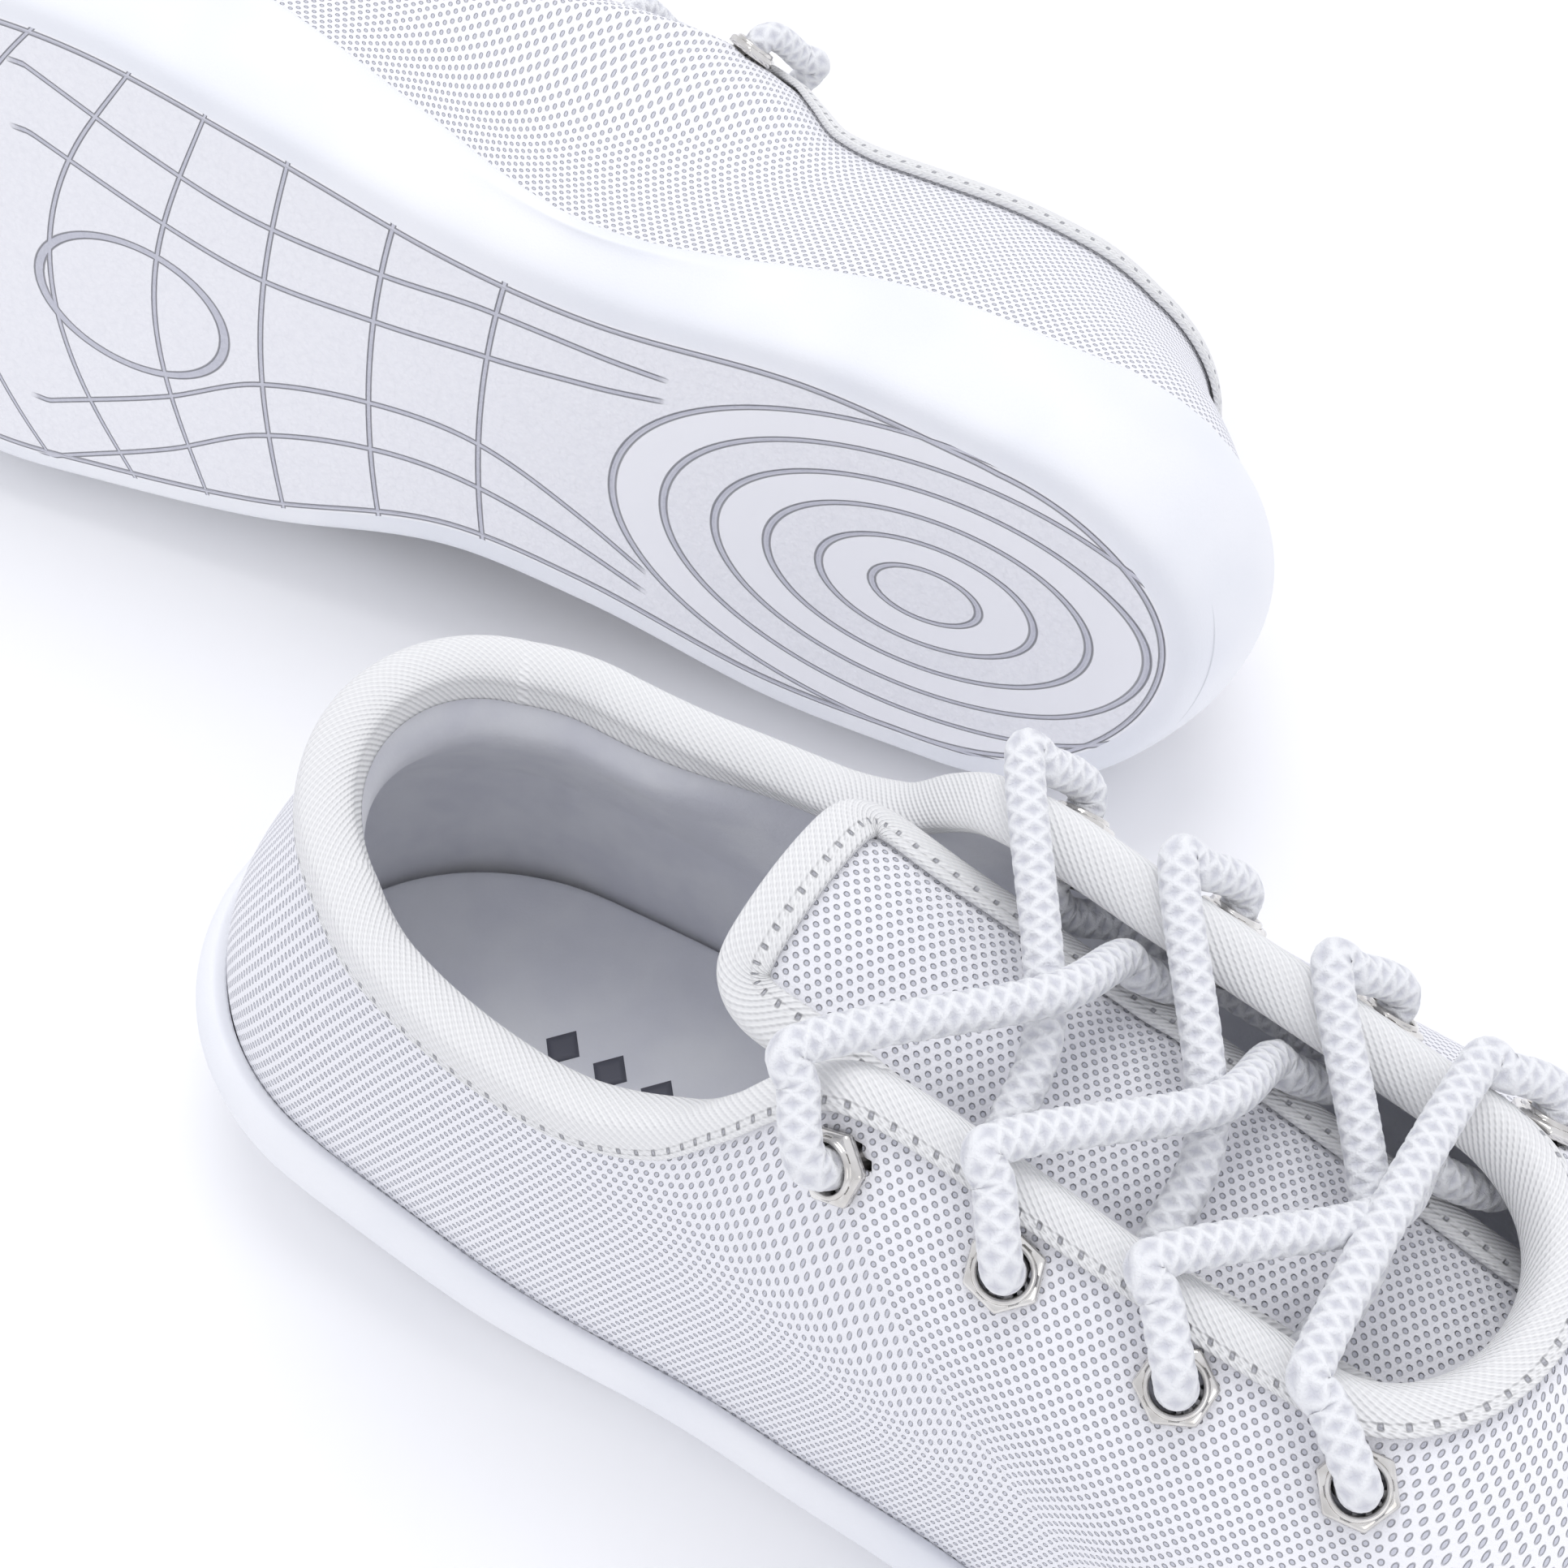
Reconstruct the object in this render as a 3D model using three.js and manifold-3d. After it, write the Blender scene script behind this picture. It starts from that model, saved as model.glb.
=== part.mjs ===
// A pair of white lace-up cheer shoes: the right one stands on its sole, and the left one lies on its medial side.
// Each shoe is modelled once, as a right shoe, in its own frame: X from heel to toe, Y to the medial side, Z up,
// with the ground at zero and the back of the sole at x = 0. The left shoe is its mirror image, laid down.

import * as THREE from 'three';
import { mergeVertices } from 'three/addons/utils/BufferGeometryUtils.js';
import Module from 'manifold-3d';

const wasm = await Module();
wasm.setup();

// ---- Driving dimensions, in millimetres and degrees ----

const soleLength = 256;        // heel to toe of the unit sole, a woman's EU 39
const heelWidth = 64;          // widest part of the heel
const waistWidth = 60;         // under the arch
const ballWidth = 87;          // across the ball of the foot
const soleFloor = 6;           // thickness of the unit sole under the foot
const lipThickness = 3.4;      // top edge of the sole's sidewall
const treadInset = 8;          // how far the flat tread stays inside the widest outline
const toeSpring = 9;           // how far the toe's tip is off the ground

const collarBackHeight = 61;   // topline at the heel
const collarDipHeight = 54.5;  // topline under the ankle
const facingTopHeight = 76;    // topline where the facings begin
const throatHeight = 61;       // topline at the bottom of the throat
const collarWidth = 52;        // across the collar's opening
const throatWidth = 36;        // between the two facings' edges
const heelLean = soleLength * 0.078125;        // how far the collar's back edge is in front of the sole's back edge
const collarShift = 3;         // the collar's back leans this far to the medial side
const lateralSlope = 35;       // slope of the lateral facing, which is the flatter one
const medialSlope = 52;

const firstEyeletAt = soleLength * 0.39375;    // along the shoe
const eyeletPitch = soleLength * 0.0703125;
const eyeletsPerSide = 4;
const laceDiameter = 4.2;
const eyeletBore = laceDiameter + 0.8;         // the lace passes with room for its braid to swell
const eyeletAcross = eyeletBore + 3.2;         // across the corners of its hexagonal flange
const eyeletSetback = eyeletAcross / 2 + 4.5;  // from the topline's edge to an eyelet's centre
const eyeletWall = 0.35;
const flangeThickness = 1.2;
const backFlangeAcross = eyeletBore + 1.8;
const backFlangeThickness = 0.5;
const eyeletSeat = 0.5;        // clearance between the flange and the curved face it sits on
const backSeat = 1.7;          // clearance between the rolled flange and the curved lining

const agletDiameter = laceDiameter - 1;
const agletLength = 20;
const tailLength = 30;         // of lace lying under a facing past the first eyelet

const meshThickness = 1.4;
const layerThickness = 0.9;    // stiffeners between mesh and lining
const liningThickness = 0.7;
const foamBulge = 4;           // extra thickness of the collar's padding
const boardThickness = 1.7;
const sockThickness = 3;
const bindingThickness = 0.8;
const bindingDrop = eyeletSetback - eyeletAcross / 2 - 1;   // the folded tape stops short of the eyelets
const tongueThickness = 2.6;
const tongueLiningThickness = 0.6;
const tongueBindingThickness = 0.6;
const tongueBindingDrop = 4.5;
const tongueWidth = throatWidth * 0.9;
const tongueMiddle = -1.5;     // the throat sits a little to the lateral side
const tongueTipAt = firstEyeletAt - 20.8;      // along the shoe, past the first eyelets
const tongueTipHeight = facingTopHeight - 1;
const tongueArch = 30;         // radius of the tongue's cross curve
const tongueDepth = 2 * laceDiameter + 0.4;    // the tongue's crest under the line of the facings' edges

const gap = 0.3;               // clearance between pieces that touch
const tapeGap = 2.5 * gap;       // clearance between a folded tape and what it covers

const restAt = 105;            // middle of the flat tread, the pair's reference point
const lyingRoll = -10;         // the left shoe rests on its collar, first eyelet and sole edge
const lyingPitch = 4;
const lyingYaw = 7;
const leftHeelAt = [95.7, 76.4]; // where the left shoe's heel is, from the right shoe's heel

const around = 36;             // steps round a shoe
const rows = [0, 0.2, 0.44, 0.66, 0.85, 1];   // shared heights up the upper's face, so that layers stay parallel

// ---- Small tools ----

// Smooth value at x through [x, value] stations, held constant outside them.
function through(stations, x) {
  const last = stations.length - 1;
  if (x <= stations[0][0]) return stations[0][1];
  if (x >= stations[last][0]) return stations[last][1];
  let i = 0;
  while (x > stations[i + 1][0]) i += 1;
  const slope = (k) => {
    const before = stations[Math.max(k - 1, 0)];
    const after = stations[Math.min(k + 1, last)];
    return (after[1] - before[1]) / (after[0] - before[0]);
  };
  const [x0, y0] = stations[i];
  const [x1, y1] = stations[i + 1];
  const h = x1 - x0;
  const s = (x - x0) / h;
  const a = (1 + 2 * s) * (1 - s) ** 2 * y0 + s * s * (3 - 2 * s) * y1;
  return a + h * s * (1 - s) * ((1 - s) * slope(i) - s * slope(i + 1));
}

// Quarter-ellipse growth from 0 to 1 over a distance.
function rounded(distance, reach) {
  const s = Math.min(Math.max(distance / reach, 0), 1);
  return Math.sqrt(s * (2 - s));
}

function smoothstep(low, high, x) {
  const s = Math.min(Math.max((x - low) / (high - low), 0), 1);
  return s * s * (3 - 2 * s);
}

// Closed solid through a row of loops with equal point counts. The row is closed too, or capped at both ends by
// pairing each point of the first and last loop with the one opposite it. The two halves of a loop face each other,
// so their quads are split along the same diagonal.
function loft(loops, closed = false) {
  const n = loops[0].length;
  const position = loops.flat().flatMap((p) => [p.x, p.y, p.z]);
  const index = [];
  const spans = closed ? loops.length : loops.length - 1;
  for (let i = 0; i < spans; i += 1) {
    const a = i * n;
    const b = ((i + 1) % loops.length) * n;
    for (let j = 0; j < n; j += 1) {
      const k = (j + 1) % n;
      if (j < n / 2) index.push(a + j, a + k, b + k, a + j, b + k, b + j);
      else index.push(a + j, a + k, b + j, a + k, b + k, b + j);
    }
  }
  if (!closed) {
    const end = (loops.length - 1) * n;
    for (let j = 0; j < n / 2 - 1; j += 1) {
      const k = n - 1 - j;
      index.push(j, k, k - 1, j, k - 1, j + 1);
      index.push(end + j, end + k - 1, end + k, end + j, end + j + 1, end + k - 1);
    }
  }
  return outward(position, index);
}

// Geometry whose faces point out.
function outward(position, index) {
  let volume = 0;
  const at = (i) => new THREE.Vector3(...position.slice(3 * i, 3 * i + 3));
  for (let i = 0; i < index.length; i += 3) {
    volume += at(index[i]).dot(at(index[i + 1]).cross(at(index[i + 2])));
  }
  const turned = volume < 0 ? index.slice().reverse() : index;
  const geometry = new THREE.BufferGeometry();
  geometry.setAttribute('position', new THREE.Float32BufferAttribute(position, 3));
  geometry.setIndex(turned);
  return geometry;
}

function solidOf(geometry) {
  const bare = geometry.clone();
  bare.deleteAttribute('normal');
  bare.deleteAttribute('uv');
  const merged = mergeVertices(bare, 1e-4);
  return new wasm.Manifold(new wasm.Mesh({
    numProp: 3,
    vertProperties: Float32Array.from(merged.attributes.position.array),
    triVerts: Uint32Array.from(merged.index.array),
  }));
}

// Geometry with each of the tools cut out of it.
function cut(geometry, tools) {
  let solid = solidOf(geometry);
  for (const tool of tools) solid = solid.subtract(solidOf(tool));
  const mesh = solid.getMesh();
  return outward(Array.from(mesh.vertProperties), Array.from(mesh.triVerts));
}

// Tube of constant diameter with a loop at each point of a path.
function tube(points, diameter, sides = 6) {
  const last = points.length - 1;
  const run = (i) => points[i + 1].clone().sub(points[i]).normalize();
  const side = new THREE.Vector3(0, 1, 0).cross(run(0)).normalize();
  const loops = points.map((centre, i) => {
    const tangent = run(Math.max(i - 1, 0)).add(run(Math.min(i, last - 1))).normalize();
    side.addScaledVector(tangent, -side.dot(tangent)).normalize();
    const other = tangent.clone().cross(side);
    const loop = [];
    for (let j = 0; j < sides; j += 1) {
      const angle = (2 * Math.PI * (j + 0.5)) / sides;
      loop.push(centre.clone().addScaledVector(side, Math.cos(angle) * diameter / 2)
        .addScaledVector(other, Math.sin(angle) * diameter / 2));
    }
    return loop;
  });
  return loft(loops);
}

// ---- The sole's outline and sidewall ----

const share = (fraction) => fraction * soleLength;

// Half widths of the widest outline on each side of the shoe's axis, by station along the shoe.
const lateralHalf = [
  [share(0.11), heelWidth * 0.485],
  [share(0.22), heelWidth * 0.52],
  [share(0.34), waistWidth * 0.52],
  [share(0.43), waistWidth * 0.55],
  [share(0.55), ballWidth * 0.45],
  [share(0.66), ballWidth * 0.505],
  [share(0.75), ballWidth * 0.5],
  [share(0.85), ballWidth * 0.43],
  [share(0.93), ballWidth * 0.34],
];
const medialHalf = [
  [share(0.11), heelWidth * 0.5],
  [share(0.22), heelWidth * 0.5],
  [share(0.34), waistWidth * 0.455],
  [share(0.43), waistWidth * 0.45],
  [share(0.55), ballWidth * 0.41],
  [share(0.66), ballWidth * 0.465],
  [share(0.75), ballWidth * 0.49],
  [share(0.85), ballWidth * 0.45],
  [share(0.93), ballWidth * 0.37],
];
const heelRound = share(0.12);
const toeRound = share(0.2);

// Height of the sidewall's wavy top edge.
const lipHeight = [
  [0, 24],
  [share(0.12), 20],
  [share(0.2), 18.5],
  [share(0.3), 13],
  [share(0.385), 10],
  [share(0.49), 16],
  [share(0.6), 21],
  [share(0.78), 22],
  [soleLength, 24 + toeSpring * 0.5],
];

// Half steps keep every ring's points in pairs across the shoe, with none on its axis.
const turn = (k) => (2 * Math.PI * (k + 0.5)) / around;

// Point of the plan outline at an angle (0 at the toe, going round the lateral side), moved in by an inset.
function outline(angle, inset = 0) {
  const reach = soleLength / 2 - inset;
  const x = soleLength / 2 + reach * Math.cos(angle);
  const whole = soleLength * (x - inset) / (soleLength - 2 * inset);
  const side = Math.sin(angle) >= 0 ? lateralHalf : medialHalf;
  const half = through(side, whole) - inset;
  const round = rounded(x - inset, heelRound) * rounded(soleLength - inset - x, toeRound);
  return new THREE.Vector2(x, -Math.sign(Math.sin(angle)) * half * round);
}

const treadHeight = (x) => toeSpring * smoothstep(share(0.68), share(1.12), x) ** 1.2 * 1.6
  + 3 * (1 - smoothstep(0, share(0.1), x)) ** 2;
const floorHeight = (x) => soleFloor + treadHeight(x) * smoothstep(share(0.5), share(0.7), x);

function ring(inset, height) {
  const points = [];
  for (let k = 0; k < around; k += 1) {
    const p = outline(turn(k), inset);
    points.push(new THREE.Vector3(p.x, p.y, height(p.x)));
  }
  return points;
}

// Moulded unit sole: flat tread, flared sidewall, rounded lip, and the cup that the upper stands in.
function unitSole() {
  const lip = (drop) => (x) => through(lipHeight, x) - drop;
  const part = (low) => (x) => treadHeight(x) + low * (through(lipHeight, x) - treadHeight(x));
  return loft([
    ring(treadInset, treadHeight),
    ring(treadInset * 0.55, part(0.1)),
    ring(treadInset * 0.12, part(0.5)),
    ring(0, lip(4)),
    ring(0.7, lip(1.3)),
    ring(lipThickness * 0.6, lip(0)),
    ring(lipThickness, lip(0.6)),
    ring(lipThickness, floorHeight),
  ]);
}

// Flat piece inside the cup, between two heights above its floor.
function insert(inset, low, high) {
  return loft([
    ring(inset, (x) => floorHeight(x) + low),
    ring(inset, (x) => floorHeight(x) + high),
  ]);
}

// ---- The upper's surface ----

const upperInset = lipThickness + gap;
const stack = meshThickness + layerThickness + liningThickness + 2 * gap;
const lastEyeletAt = firstEyeletAt + (eyeletsPerSide - 1) * eyeletPitch;
const throatAt = lastEyeletAt + 7.5;
const facingAt = firstEyeletAt - 2;
const cupShare = rows[1];

// Topline: half widths on each side and height, by station along the shoe.
const lateralEdge = [
  [heelLean + 12, collarWidth * 0.42],
  [heelLean + 30, collarWidth * 0.48],
  [facingAt - 30, collarWidth * 0.5],
  [facingAt - 12, collarWidth * 0.44],
  [facingAt, throatWidth * 0.54],
  [throatAt - 26, throatWidth * 0.53],
  [throatAt, throatWidth * 0.5],
];
const medialEdge = [
  [heelLean + 12, collarWidth * 0.4],
  [heelLean + 30, collarWidth * 0.46],
  [facingAt - 30, collarWidth * 0.5],
  [facingAt - 12, collarWidth * 0.4],
  [facingAt, throatWidth * 0.49],
  [throatAt - 26, throatWidth * 0.47],
  [throatAt, throatWidth * 0.45],
];
const rise = facingTopHeight - collarDipHeight;
const heights = (climb) => [
  [heelLean, collarBackHeight],
  [heelLean + 12, collarBackHeight - 2.5],
  [heelLean + 30, collarDipHeight + 1.2],
  [facingAt - 30, collarDipHeight],
  [facingAt - 19, collarDipHeight + rise * climb[0]],
  [facingAt - 12, collarDipHeight + rise * climb[1]],
  [facingAt - 6, collarDipHeight + rise * climb[2]],
  [facingAt + 1, facingTopHeight],
  [facingAt + 16, facingTopHeight - 3.4],
  [throatAt - 12, throatHeight + 2.4],
  [throatAt, throatHeight],
];
const lateralHeight = heights([0.18, 0.5, 0.82]);
const medialHeight = heights([0.3, 0.68, 0.93]);

function topline(angle) {
  const x = heelLean + (throatAt - heelLean) * (1 + Math.cos(angle)) / 2;
  const round = rounded(x - heelLean, 22) * rounded(throatAt - x, throatWidth * 0.4);
  const lateral = Math.sin(angle) >= 0;
  const half = through(lateral ? lateralEdge : medialEdge, x) * round;
  const shift = collarShift * (1 - smoothstep(heelLean, heelLean + 36, x));
  return new THREE.Vector3(x, shift + (lateral ? -half : half), through(lateral ? lateralHeight : medialHeight, x));
}

// Level direction out of a closed plan curve at an angle.
function levelOut(curve, angle) {
  const a = curve(angle + 0.01);
  const b = curve(angle - 0.01);
  return new THREE.Vector3(b.y - a.y, a.x - b.x, 0).normalize();
}

// The outer face is a cubic Bezier from the sole's cup (v = 0) to the topline (v = 1), carried round the shoe. Its
// lowest part, inside the cup, stands upright.
function outerFace(angle, v) {
  const foot = outline(angle, upperInset);
  const low = new THREE.Vector3(foot.x, foot.y, floorHeight(foot.x) + gap);
  const high = topline(angle);
  const span = low.distanceTo(high);
  const flat = smoothstep(facingAt - 28, facingAt + 2, high.x);
  const nose = smoothstep(throatAt - 16, throatAt, high.x);
  const slope = lateralSlope + (medialSlope - lateralSlope) * smoothstep(-8, 8, high.y);
  const lean = THREE.MathUtils.degToRad(78 + (slope - 78) * flat + (22 - slope) * nose);
  const reach = span * (0.3 + 0.04 * flat + 0.1 * nose);
  const p1 = low.clone().setZ(low.z + Math.min(span * (0.42 + 0.04 * flat), 30));
  const p2 = high.clone().addScaledVector(levelOut(topline, angle), (1 - cupShare) * reach * Math.cos(lean));
  p2.z -= reach * Math.sin(lean);
  const bezier = (t, axis) => {
    const w = 1 - t;
    return w ** 3 * low[axis] + 3 * w * w * t * p1[axis] + 3 * w * t * t * p2[axis] + t ** 3 * high[axis];
  };
  const free = Math.max(v - cupShare, 0) / (1 - cupShare);
  return new THREE.Vector3(bezier(free, 'x'), bezier(free, 'y'), bezier(v, 'z'));
}

// Place, outward normal and downward direction on the outer face.
function station(angle, v) {
  const e = 0.004;
  const v0 = Math.max(v - e, 0);
  const v1 = Math.min(v + e, 1);
  const across = outerFace(angle + e, v).sub(outerFace(angle - e, v));
  const up = outerFace(angle, v1).sub(outerFace(angle, v0)).normalize();
  const out = new THREE.Vector3().crossVectors(up, across).normalize();
  const level = outerFace(angle, v).sub(new THREE.Vector3(soleLength * 0.42, 0, -40));
  if (out.dot(level) < 0) out.negate();
  return { at: outerFace(angle, v), out, down: up.negate() };
}

// Points of the shared grid under the outer face: by step round the shoe, row and depth.
const gridPoint = (k, row, depth) => {
  const s = station(turn(k), rows[row]);
  return s.at.addScaledVector(s.out, -depth);
};

// Point at a depth under the face, on the flat facets between the points of the shared grid.
function under(angle, v, depth) {
  const turned = angle * around / (2 * Math.PI) - 0.5;
  const k = Math.floor(turned + 1e-6);
  const part = Math.max(turned - k, 0);
  let row = 0;
  while (row < rows.length - 2 && v > rows[row + 1]) row += 1;
  const up = (v - rows[row]) / (rows[row + 1] - rows[row]);
  const edge = (step) => gridPoint(step, row, depth).lerp(gridPoint(step, row + 1, depth), up);
  return part < 1e-6 ? edge(k) : edge(k).lerp(edge(k + 1), part);
}

// Height up the face, as v, where a point is a distance down from the topline.
function faceAt(angle, distance) {
  let v = 1;
  let done = 0;
  let last = under(angle, 1, 0);
  while (done < distance && v > 0) {
    v -= 0.005;
    const next = under(angle, v, 0);
    done += next.distanceTo(last);
    last = next;
  }
  return v;
}

// Angle round the shoe at which the point a distance down from the topline is at x along the shoe.
function angleAt(x, distance, side) {
  let edge = x;
  let angle = 0;
  for (let i = 0; i < 5; i += 1) {
    angle = side * Math.acos(2 * (edge - heelLean) / (throatAt - heelLean) - 1);
    edge += x - under(angle, faceAt(angle, distance), 0).x;
  }
  return angle;
}

// Layer between two depths under the outer face, between two shared rows, over a range of steps round the shoe.
function layer([from, to], [lowRow, highRow], outer, inner) {
  const whole = to - from === around;
  const used = rows.slice(lowRow, highRow + 1);
  const loops = [];
  for (let k = from; k < (whole ? to : to + 1); k += 1) {
    const angle = turn(k);
    const face = used.map((v) => under(angle, v, outer(angle, v)));
    const back = used.map((v) => under(angle, v, inner(angle, v))).reverse();
    loops.push([...face, ...back]);
  }
  return loft(loops, whole);
}

const level = (value) => () => value;
const wholeShoe = [0, around];

// The collar's padding swells the lining inwards round the ankle, in even steps between the shared rows.
const swell = rows.map((v) => [v, foamBulge * smoothstep(0.5, 0.8, v) * (v < 1 ? 1 : 0)]);

function padding(angle, v) {
  const ankle = smoothstep(1.9, 2.25, Math.abs(Math.PI - Math.abs(angle - Math.PI)));
  const above = swell.findIndex(([row]) => row >= v);
  if (above < 1) return ankle * swell[0][1];
  const [[v0, low], [v1, high]] = [swell[above - 1], swell[above]];
  return ankle * (low + (high - low) * (v - v0) / (v1 - v0));
}

// ---- Eyelets ----

// The eight eyelets, from the collar to the toe: place, axis, and direction down the face.
function eyeletStations() {
  const stations = [];
  for (const side of [1, -1]) {
    for (let i = 0; i < eyeletsPerSide; i += 1) {
      const angle = angleAt(firstEyeletAt + i * eyeletPitch, eyeletSetback, side);
      const at = under(angle, faceAt(angle, eyeletSetback), 0);
      const above = under(angle, faceAt(angle, eyeletSetback - 3), 0);
      const below = under(angle, faceAt(angle, eyeletSetback + 3), 0);
      const ahead = under(angle - side * 0.06, faceAt(angle - side * 0.06, eyeletSetback), 0);
      const down = below.sub(above).normalize();
      const out = down.clone().cross(ahead.sub(at)).multiplyScalar(side).normalize();
      stations.push({ name: `${side > 0 ? 'lateral' : 'medial'}_${i + 1}`, at, out, down });
    }
  }
  return stations;
}

// Turned so that its own Z axis lies along the eyelet's axis.
function seated(geometry, eyelet) {
  const spin = new THREE.Quaternion().setFromUnitVectors(new THREE.Vector3(0, 0, 1), eyelet.out);
  return geometry.applyQuaternion(spin).translate(eyelet.at.x, eyelet.at.y, eyelet.at.z);
}

// One-piece eyelet: bevelled hexagonal flange, barrel through the upper, and a rolled flange behind it.
function eyelet(place, turned) {
  const bore = eyeletBore / 2;
  const barrel = bore + eyeletWall;
  const hex = eyeletAcross / 2;
  const back = -stack - backSeat;
  const top = eyeletSeat + flangeThickness;
  const profile = [
    [bore, top, 0],
    [hex * 0.84, top, 1],
    [hex, top - flangeThickness * 0.5, 1],
    [hex, eyeletSeat, 1],
    [barrel, eyeletSeat, 0],
    [barrel, back, 0],
    [backFlangeAcross / 2, back, 0],
    [bore, back - backFlangeThickness, 0],
  ];
  const steps = 12;
  const loops = [];
  for (let k = 0; k < steps; k += 1) {
    const angle = (2 * Math.PI * k) / steps + turned;
    const corner = k % 2 === 0 ? 1 : Math.cos(Math.PI / 6);
    loops.push(profile.map(([r, z, six]) => {
      const radius = six ? r * corner : r;
      return new THREE.Vector3(radius * Math.cos(angle), radius * Math.sin(angle), z);
    }));
  }
  return seated(loft(loops, true), place);
}

function eyeletHoles(eyelets) {
  return eyelets.map((place) => {
    const radius = eyeletBore / 2 + eyeletWall + gap;
    const hole = new THREE.CylinderGeometry(radius, radius, 4 * stack, 8);
    return seated(hole.rotateX(Math.PI / 2), place);
  });
}

// ---- Binding and tongue ----

// Folded tape over an edge: the loop of its section, as depth under the face and distance down from the edge.
function tape(thickness, wall, drop, clearance) {
  const over = wall + clearance;
  const inside = drop - 0.8;
  return [
    [-over, drop],
    [-over, 0.3],
    [thickness * 0.2, -over],
    [thickness * 0.8, -over],
    [thickness + over, 0.3],
    [thickness + over, inside],
    [thickness + clearance, inside],
    [thickness + clearance, -clearance],
    [-clearance, -clearance],
    [-clearance, drop],
  ];
}

function toplineBinding() {
  const section = tape(stack, bindingThickness, bindingDrop, tapeGap);
  const loops = [];
  for (let k = 0; k < around; k += 1) {
    const angle = turn(k);
    const edge = station(angle, 1);
    loops.push(section.map(([depth, down]) => {
      if (down <= 0) return edge.at.clone().addScaledVector(edge.out, -depth).addScaledVector(edge.down, down);
      const v = faceAt(angle, down);
      return under(angle, v, depth > stack ? depth + padding(angle, v) : depth);
    }));
  }
  return loft(loops, true);
}

const tongueRootAt = throatAt + 9;
const tongueSteps = 10;
const secondEyeletAt = firstEyeletAt + eyeletPitch;

// Height of the tongue's crest: under the facings' edges, rising in a straight line to its tip past the lacing.
function tongueCrest(x) {
  const held = (at) => through(lateralHeight, at) - tongueDepth - 1.2 * smoothstep(throatAt - 22, tongueRootAt, at);
  const free = Math.min((secondEyeletAt - x) / (secondEyeletAt - tongueTipAt), 1);
  if (free <= 0) return held(x);
  return held(secondEyeletAt) + (tongueTipHeight - held(secondEyeletAt)) * free;
}

const tongueSides = [
  [tongueTipAt, tongueWidth * 0.5],
  [tongueTipAt + 9, tongueWidth * 0.46],
  [firstEyeletAt, tongueWidth * 0.47],
  [secondEyeletAt, tongueWidth * 0.48],
  [tongueRootAt, tongueWidth * 0.37],
];

function tongueHalf(x) {
  return through(tongueSides, x) * (0.62 + 0.38 * rounded(x - tongueTipAt, 7));
}

// Point at a depth under the tongue's upper face, at a distance from its middle line measured across.
function tongueFace(x, across, depth) {
  const bend = across / tongueArch;
  const r = tongueArch - depth;
  return new THREE.Vector3(x, tongueMiddle + r * Math.sin(bend), tongueCrest(x) - tongueArch + r * Math.cos(bend));
}

const tongueX = (k) => {
  const s = k / tongueSteps;
  return tongueTipAt + (tongueRootAt - tongueTipAt) * (0.25 * s + 0.75 * s * s);
};

function tongueLayer(outer, inner) {
  const loops = [];
  for (let k = 0; k <= tongueSteps; k += 1) {
    const x = tongueX(k);
    const row = [-1, -0.62, -0.22, 0.22, 0.62, 1].map((share) => share * tongueHalf(x));
    const top = row.map((y) => tongueFace(x, y, outer));
    const bottom = row.reverse().map((y) => tongueFace(x, y, inner));
    loops.push([...top, ...bottom]);
  }
  return loft(loops);
}

// Tape folded over the tongue's two long edges and its tip.
function tongueBinding() {
  const thick = tongueThickness + gap + tongueLiningThickness;
  const section = tape(thick, tongueBindingThickness, tongueBindingDrop, tapeGap);
  const stations = [];
  for (let k = tongueSteps - 1; k >= 0; k -= 1) stations.push(tongueX(k));
  const corner = tongueHalf(tongueTipAt) * 0.5;
  const edge = [
    ...stations.map((x) => [x, -tongueHalf(x)]),
    [tongueTipAt, -corner],
    [tongueTipAt, corner],
    ...stations.reverse().map((x) => [x, tongueHalf(x)]),
  ];
  const loops = edge.map(([x, across], i) => {
    const before = edge[Math.max(i - 1, 0)];
    const after = edge[Math.min(i + 1, edge.length - 1)];
    const run = new THREE.Vector2(after[0] - before[0], after[1] - before[1]).normalize();
    return section.map(([depth, down]) => tongueFace(x + run.y * down, across - run.x * down, depth));
  });
  return loft(loops);
}

// ---- Lace ----

// Offsets from an eyelet: towards the throat's edge, and out along its axis.
function near(eyelet, toThroat, out) {
  return eyelet.at.clone().addScaledVector(eyelet.down, -toThroat).addScaledVector(eyelet.out, out);
}

const laceRadius = laceDiameter / 2;
const innerRun = stack + backSeat + backFlangeThickness + gap + laceRadius;
const flangeTop = eyeletSeat + flangeThickness;
const overTape = bindingThickness + tapeGap + gap + laceRadius;

// Over the facing's edge and down through an eyelet from outside.
function intoEyelet(eyelet) {
  return [
    near(eyelet, eyeletSetback + 3.2, overTape - 0.2),
    near(eyelet, eyeletSetback - 0.6, overTape + 0.3),
    near(eyelet, 3.6, flangeTop + laceRadius + gap + 0.6),
    near(eyelet, 0.9, flangeTop + laceRadius + gap),
    near(eyelet, 0, flangeTop + gap),
    near(eyelet, 0, -stack - backSeat - backFlangeThickness - gap),
  ];
}

// Under the facing, towards the throat and past its edge.
function underFacing(eyelet) {
  return [
    near(eyelet, 0.9, -innerRun + 0.6),
    near(eyelet, 3.2, -innerRun),
    near(eyelet, eyeletSetback, -innerRun),
    near(eyelet, eyeletSetback + 2.6, -innerRun + 0.5),
  ];
}

// Middle of a run across the throat, raised or lowered so that two runs cross without touching.
function midway(a, b, raise) {
  const middle = a.at.clone().add(b.at).multiplyScalar(0.5);
  return new THREE.Vector3(middle.x, tongueMiddle, through(lateralHeight, middle.x) - 1.2 + raise);
}

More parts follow.
